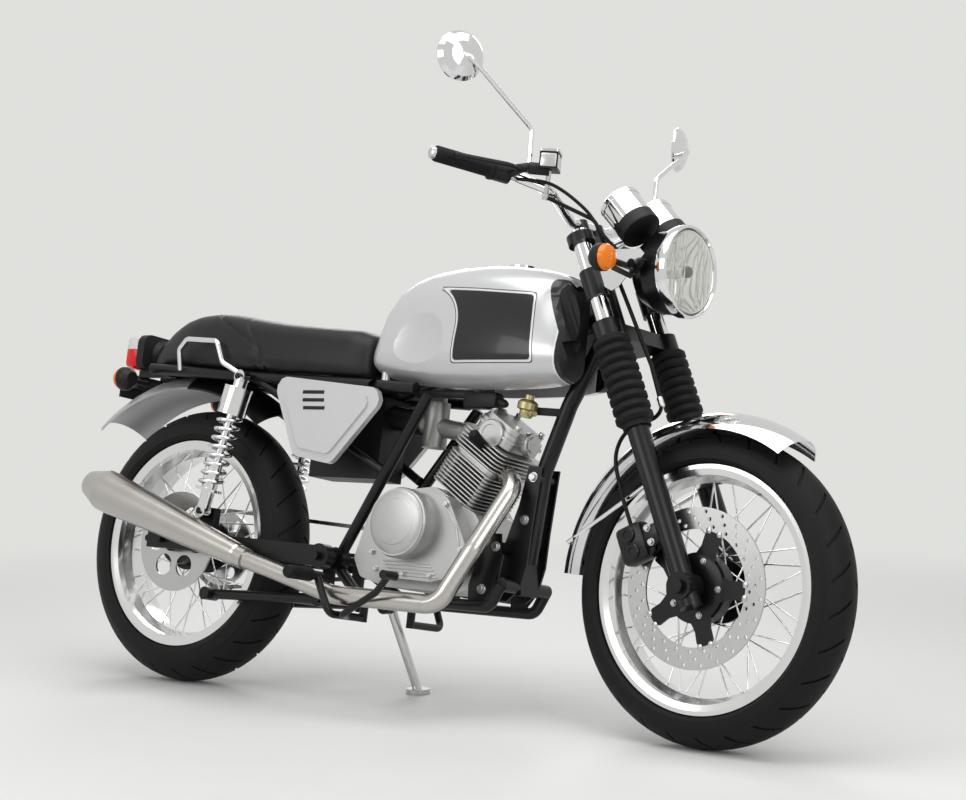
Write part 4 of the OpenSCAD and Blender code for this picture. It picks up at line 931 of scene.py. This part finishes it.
def lamp_piece(name, profile, steps, finish, crease=35):
    """A turned piece of the headlamp."""
    bm = bmesh.new()
    turned(bm, profile, steps=steps)
    return piece(name, bm, finish, "steering", lamp_place, crease)


lamp_piece("headlamp_rim", RIM, 72, chrome)
lamp_piece("headlamp_reflector", BOWL, 28, reflector, 8)
flutes_bm = bmesh.new()
for flute in (-6, -5, -4, -3, -2, 2, 3, 4, 5, 6):
    reach = (flute_reach ** 2 - (flute * flute_step) ** 2) ** 0.5
    rounded_bar(flutes_bm, (flute * flute_step, 0, 0.0012), (0.0022, 2 * reach, 0.0016), 0.0005)
piece("headlamp_flutes", flutes_bm, clear_acrylic, "steering", lamp_place)
lamp_piece("bulb_shield", SHIELD, 28, black_moulding)
lamp_piece("headlamp_bulb", BULB, 24, bulb_glass)
lens = lamp_piece("headlamp_glass", LENS, 72, lamp_glass, 60)
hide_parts("headlamp_lens")

# Gauges
# Two plated cups in black boots, with plated bezels.
# Each shows a black dial with pale marks and a red needle.
def block(bm, size, place, finish):
    """A plain block about its place."""
    fresh = bmesh.new()
    bmesh.ops.create_cube(fresh, size=1.0, matrix=Matrix.Diagonal((*size, 1)))
    added(bm, fresh, place, finish)


dial_black = surface("dial_black", (0.01, 0.01, 0.011), rough=0.5, tint=0.2)
dial_marks = surface("dial_marks", (0.78, 0.78, 0.75), rough=0.5, tint=0.05)
needle_red = surface("needle_red", (0.6, 0.02, 0.015), rough=0.4, tint=0.1)
gauge_low, gauge_top, gauge_half = Vector((0.474, 0, 0.976)), Vector((0.418, 0, 1.033)), 0.055
gauge_r, dial_t, mark_count, scale_from, scale_sweep, needle_at = 0.041, 0.0012, 31, -220, 260, -215
BEZEL = ((gauge_r - 0.0028, 0.0001), (gauge_r - 0.0028, 0.0052), (gauge_r - 0.0005, 0.0058),
         (gauge_r + 0.0016, 0.0036), (gauge_r + 0.0016, -0.006), (gauge_r + 0.0001, -0.0065),
         (gauge_r + 0.0001, 0.0001), (gauge_r - 0.0028, 0.0001))
BOOT = ((0, -0.0012), (gauge_r - 0.004, -0.0012), (gauge_r + 0.0006, 0.002), (gauge_r + 0.0006, 0.026),
        (gauge_r + 0.0001, 0.0265), (gauge_r + 0.0001, -0.0001), (0, -0.0001))
dials_bm, bezel_bm, boots_bm = bmesh.new(), bmesh.new(), bmesh.new()
for side in (-1, 1):
    up, aside = gauge_top - gauge_low, Vector((0, side * gauge_half, 0))
    place = aimed(gauge_top + aside + up.normalized() * 0.0001, up)
    rod(dials_bm, gauge_r - 0.003, 0, dial_t, place, 48)
    for mark in range(mark_count):
        turn = Matrix.Rotation(radians(scale_from + scale_sweep * mark / (mark_count - 1)), 4, "Z")
        length, width = (0.0065, 0.0011) if mark % 5 == 0 else (0.0035, 0.0007)
        mark_spot = Matrix.Translation((gauge_r - 0.0055 - length / 2, 0, 0.0014))
        block(dials_bm, (length, width, 0.0004), place @ turn @ mark_spot, 1)
    needle = Matrix.Rotation(radians(needle_at), 4, "Z") @ Matrix.Translation((0.011, 0, 0.0026))
    block(dials_bm, (0.034, 0.0014, 0.0008), place @ needle, 2)
    turned(dials_bm, ((0, dial_t), (0.0045, dial_t), (0.0045, 0.0036), (0, 0.0040)), place, 20, 2)
    turned(bezel_bm, BEZEL, place, 56)
    turned(boots_bm, BOOT, aimed(gauge_low + aside, up), 56)
piece("gauge_boots", boots_bm, black_moulding, "steering", steered)
piece("gauge_dials", dials_bm, [dial_black, dial_marks, needle_red], "steering", steered)
piece("gauge_bezels", bezel_bm, chrome, "steering", steered)

# Tyres
# Road tyres of black rubber: a round crown with slanted rain grooves, plain shoulders and ribbed side walls.
# The section is spun round the axle, then the grooves are sunk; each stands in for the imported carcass.
tyre_rubber = surface("tyre_rubber", (0.006, 0.006, 0.006), rough=0.6, peel=0.35, peel_scale=500.0, vary=0.1,
                      tint=0.3, shine=0.2)
bead_r, flange_h, groove_depth, groove_edge, groove_slant = 0.218, 0.014, 0.0035, 0.0009, 0.16
wall, crown, rib_height, RIB_SHARES = radians(86), radians(58), 0.0008, (0.62, 0.8)


def tyre_shape(r, half, steps, period, tread_faces):
    """A spun tyre section with slanted grooves, round the local y."""
    centre, bead_half = r - half, half - 0.017
    section = [Vector((bead_r + 0.0003, 0, -bead_half + 0.008)), Vector((bead_r + 0.0003, 0, -bead_half)),
               Vector((bead_r + flange_h + 0.002, 0, -bead_half - 0.001)),
               Vector((bead_r + flange_h + 0.0035, 0, -half + 0.007))]
    for share in (0, 0.3, 0.62, 0.8, 0.84, 1):
        angle = wall + (crown - wall) * share
        skin = half if share in RIB_SHARES else half - rib_height
        section.append(Vector((centre + skin * cos(angle), 0, -skin * sin(angle))))
    for cut in range(1, tread_faces):
        angle = crown - 2 * crown * cut / tread_faces
        section.append(Vector((centre + half * cos(angle), 0, -half * sin(angle))))
    section += [Vector((p.x, 0, -p.z)) for p in reversed(section[:10])]
    bm = bmesh.new()
    line = [bm.verts.new((p.x, p.z, 0)) for p in section]
    edges = [bm.edges.new(pair) for pair in zip(line, line[1:] + line[:1])]
    bmesh.ops.spin(bm, geom=line + edges, cent=(0, 0, 0), axis=(0, 1, 0), angle=2 * pi, steps=steps,
                   use_merge=True)
    bmesh.ops.remove_doubles(bm, verts=bm.verts, dist=0.000005)
    bmesh.ops.recalc_face_normals(bm, faces=bm.faces)
    grooves = []
    for face in bm.faces:
        spot = face.calc_center_median()
        out = hypot(spot.x, spot.z)
        across = atan2(spot.y, out - centre)
        column = int((atan2(spot.z, spot.x) / (2 * pi) % 1) * steps)
        row = int((abs(across) / crown) * tread_faces / 2)
        shift = period // 2 if across > 0 else 0
        on_tread = out > centre and abs(across) < crown and 1 <= row <= tread_faces // 2 - 2
        if on_tread and (column + shift) % period == 0:
            grooves.append(face)
    for v in bm.verts:
        out = hypot(v.co.x, v.co.z)
        across = abs(atan2(v.co.y, out - centre)) if out > centre else crown
        angle = atan2(v.co.z, v.co.x) - groove_slant * min(across, crown) / crown
        v.co.x, v.co.z = out * cos(angle), out * sin(angle)
    bmesh.ops.inset_region(bm, faces=grooves, thickness=groove_edge, depth=-groove_depth,
                           use_even_offset=True, use_boundary=True)
    return bm


# Each tyre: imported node, body, place, radius, half width, faces across the tread.
TYRES = (("front_tyre", "front_wheel", front_wheel, front_tyre_r, 0.055, 18),
         ("rear_tyre", "rear_wheel", rear_wheel, rear_tyre_r, 0.065, 20))
for packed, body, place, tyre_r, tyre_half, tread_faces in TYRES:
    tread = tyre_shape(tyre_r, tyre_half, 270, 10, tread_faces)
    tyre = piece(packed + "_tread", tread, tyre_rubber, body, place, 30)
    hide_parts(packed)

# Wheels
# Polished alloy rims laced to black hubs with steel spokes; discs and sprocket are ground steel.
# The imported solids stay, but for the front disc: a drilled ring on a black five-armed carrier.
polished = surface("polished_alloy", (0.80, 0.80, 0.80), metal=1.0, rough=0.14, vary=0.04, tint=0.04)
ground_steel = surface("ground_steel", (0.55, 0.55, 0.55), metal=1.0, rough=0.25, vary=0.06, tint=0.06)
dress(polished, "front_rim", "rear_rim")
dress(ground_steel, "rear_disc", "rear_sprocket")
dress(chrome, "front_spokes", "rear_spokes")
dress(black_coat, "front_hub", "rear_hub")
disc_r, disc_in, disc_y, disc_t = 0.150, 0.109, -0.060, 0.0045
hole_r, hole_count, drill_length, button_r, arm_count = 0.0038, 24, 0.02, 0.1090, 5
# Each ring of holes: radius, turn as a share of the step between holes.
HOLE_RINGS = ((0.1170, 0.0), (0.1295, 0.36), (0.1420, 0.68))
CARRIER_RING = ((0.0245, 0.0006), (0.062, 0.0006), (0.062, 0.0046), (0.058, 0.0062), (0.030, 0.0062),
                (0.0245, 0.0046), (0.0245, 0.0006))
CARRIER_ARM = ((0.050, -0.026), (0.078, -0.017), (0.100, -0.018), (0.108, -0.013), (0.108, 0.013),
               (0.100, 0.018), (0.078, 0.017), (0.050, 0.026))
DISC_BUTTON = ((0, 0), (0.0058, 0), (0.0058, 0.0012), (0.0042, 0.0022), (0, 0.0022))
disc_place = front_wheel @ aimed((0, disc_y, 0), (0, -1, 0))
disc_bm, drills_bm, carrier_bm, buttons_bm = bmesh.new(), bmesh.new(), bmesh.new(), bmesh.new()
turned(disc_bm, ((disc_in, 0), (disc_r, 0), (disc_r, disc_t), (disc_in, disc_t), (disc_in, 0)), steps=120)
for r, shift in HOLE_RINGS:
    for hole in range(hole_count):
        angle = (hole + shift) * 2 * pi / hole_count
        hole_place = Matrix.Translation((r * cos(angle), r * sin(angle), disc_t / 2))
        drum(drills_bm, hole_r, drill_length, hole_place, 12)
disc_bm = cut_away(disc_bm, drills_bm)
disc = piece("front_disc_ring", disc_bm, ground_steel, "front_wheel", disc_place)
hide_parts("front_disc")
turned(carrier_bm, CARRIER_RING, steps=64)
for arm in range(arm_count):
    turn = Matrix.Rotation(2 * pi * arm / arm_count, 4, "Z")
    outline(carrier_bm, CARRIER_ARM, 0.0040, turn @ Matrix.Translation((0, 0, 0.0004)))
    for spread in (-0.11, 0.11):
        button_spot = Vector((button_r * cos(spread), button_r * sin(spread), disc_t + 0.0001))
        turned(buttons_bm, DISC_BUTTON, turn @ Matrix.Translation(button_spot), 20)
    hex_bolt(buttons_bm, turn @ Vector((0.052, 0, 0.0062)), (0, 0, 1), 0.009, 0.004)
piece("front_disc_carrier", carrier_bm, black_coat, "front_wheel", disc_place)
piece("front_disc_buttons", buttons_bm, ground_steel, "front_wheel", disc_place)

# Studio
# Pale seamless floor that runs out into the backdrop, and soft light from above, the front, side and back.
floor_r, floor_drop, fade_from, fade_to = 4.6, 0.0006, 1.5, 4.2
floor_bm = bmesh.new()
bmesh.ops.create_circle(floor_bm, cap_ends=True, segments=96, radius=floor_r)
floor_mesh = bpy.data.meshes.new("floor")
floor_bm.to_mesh(floor_mesh)
floor_bm.free()
floor = shown("floor", floor_mesh)
floor.location.z = -floor_drop
backdrop_colour = (0.745, 0.745, 0.725, 1)
floor_paint = surface("pale_floor", (0.78, 0.78, 0.77), rough=0.6, tint=0.01)
floor_mesh.materials.append(floor_paint)
ground = floor_paint.node_tree
outward = on_vectors(ground, "LENGTH", node(ground, "TexCoord").outputs["Object"])["Value"]
fade = node(ground, "MapRange", {"From Min": fade_from, "From Max": fade_to, "Value": outward},
            interpolation_type="SMOOTHSTEP")
painted = ground.nodes["Principled BSDF"].outputs["BSDF"]
haze = node(ground, "Emission", {"Color": backdrop_colour})
blend = node(ground, "MixShader", {0: fade.outputs["Result"], 1: painted, 2: haze.outputs["Emission"]})
ground.links.new(blend.outputs["Shader"], ground.nodes["Material Output"].inputs["Surface"])
world = bpy.data.worlds.new("studio")
bpy.context.scene.world = world
world.use_nodes = True
sky = world.node_tree
sky_light = sky.nodes["Background"]
sky_light.inputs["Color"].default_value = (1, 1, 1, 1)
sky_light.inputs["Strength"].default_value = 0.36
sky_seen = node(sky, "Background", {"Color": backdrop_colour})
ray = node(sky, "LightPath").outputs
seen = number(sky, "MAXIMUM", number(sky, "MAXIMUM", ray["Is Camera Ray"], ray["Is Glossy Ray"]),
              ray["Is Transmission Ray"])
choose = node(sky, "MixShader", {0: seen, 1: sky_light.outputs["Background"],
                                 2: sky_seen.outputs["Background"]})
sky.links.new(choose.outputs["Shader"], sky.nodes["World Output"].inputs["Surface"])
# Each lamp: name, place, what it points at, size, power.
LAMPS = (("overhead", (0.4, -0.6, 3.4), (0, 0, 0.4), (3.6, 2.6), 72),
         ("front_fill", (3.2, -1.6, 1.9), (0.2, 0, 0.5), (1.6, 2.2), 30),
         ("side_fill", (-0.8, -3.4, 2.0), (-0.1, 0, 0.5), (2.4, 1.4), 26),
         ("back_edge", (-2.2, 2.8, 2.4), (0, 0, 0.7), (2.0, 1.2), 34))
for name, spot, aim, size, power in LAMPS:
    light = bpy.data.lights.new(name, "AREA")
    light.shape = "RECTANGLE"
    light.size, light.size_y = size
    light.energy = power
    studio_lamp = shown(name, light)
    studio_lamp.location = spot
    studio_lamp.rotation_euler = (Vector(aim) - Vector(spot)).to_track_quat("-Z", "Y").to_euler()

# Camera
# Low and close on the front right quarter, as the picture was taken; fitted to the wheels and the fork.
camera_spot = Vector((2.40139, -3.05541, 0.67491)) + Vector((parking_place.x, parking_place.y, 0))
camera_yaw, camera_pitch, camera_roll = radians(126.137), radians(-0.515), radians(0.212)
sensor_mm, focal_px, picture_px = 36, 1897.79, 966
look = Vector((cos(camera_pitch) * cos(camera_yaw), cos(camera_pitch) * sin(camera_yaw), sin(camera_pitch)))
level = look.cross(Vector((0, 0, 1))).normalized()
steep = level.cross(look)
right = cos(camera_roll) * level + sin(camera_roll) * steep
upward = -sin(camera_roll) * level + cos(camera_roll) * steep
camera_data = bpy.data.cameras.new("camera")
camera_data.sensor_width = sensor_mm
camera_data.sensor_fit = "HORIZONTAL"
camera_data.lens = sensor_mm * focal_px / picture_px
camera = shown("camera", camera_data)
camera.matrix_world = Matrix.Translation(camera_spot) @ Matrix((right, upward, -look)).transposed().to_4x4()
bpy.context.scene.camera = camera
bpy.context.scene.view_settings.view_transform = "Standard"
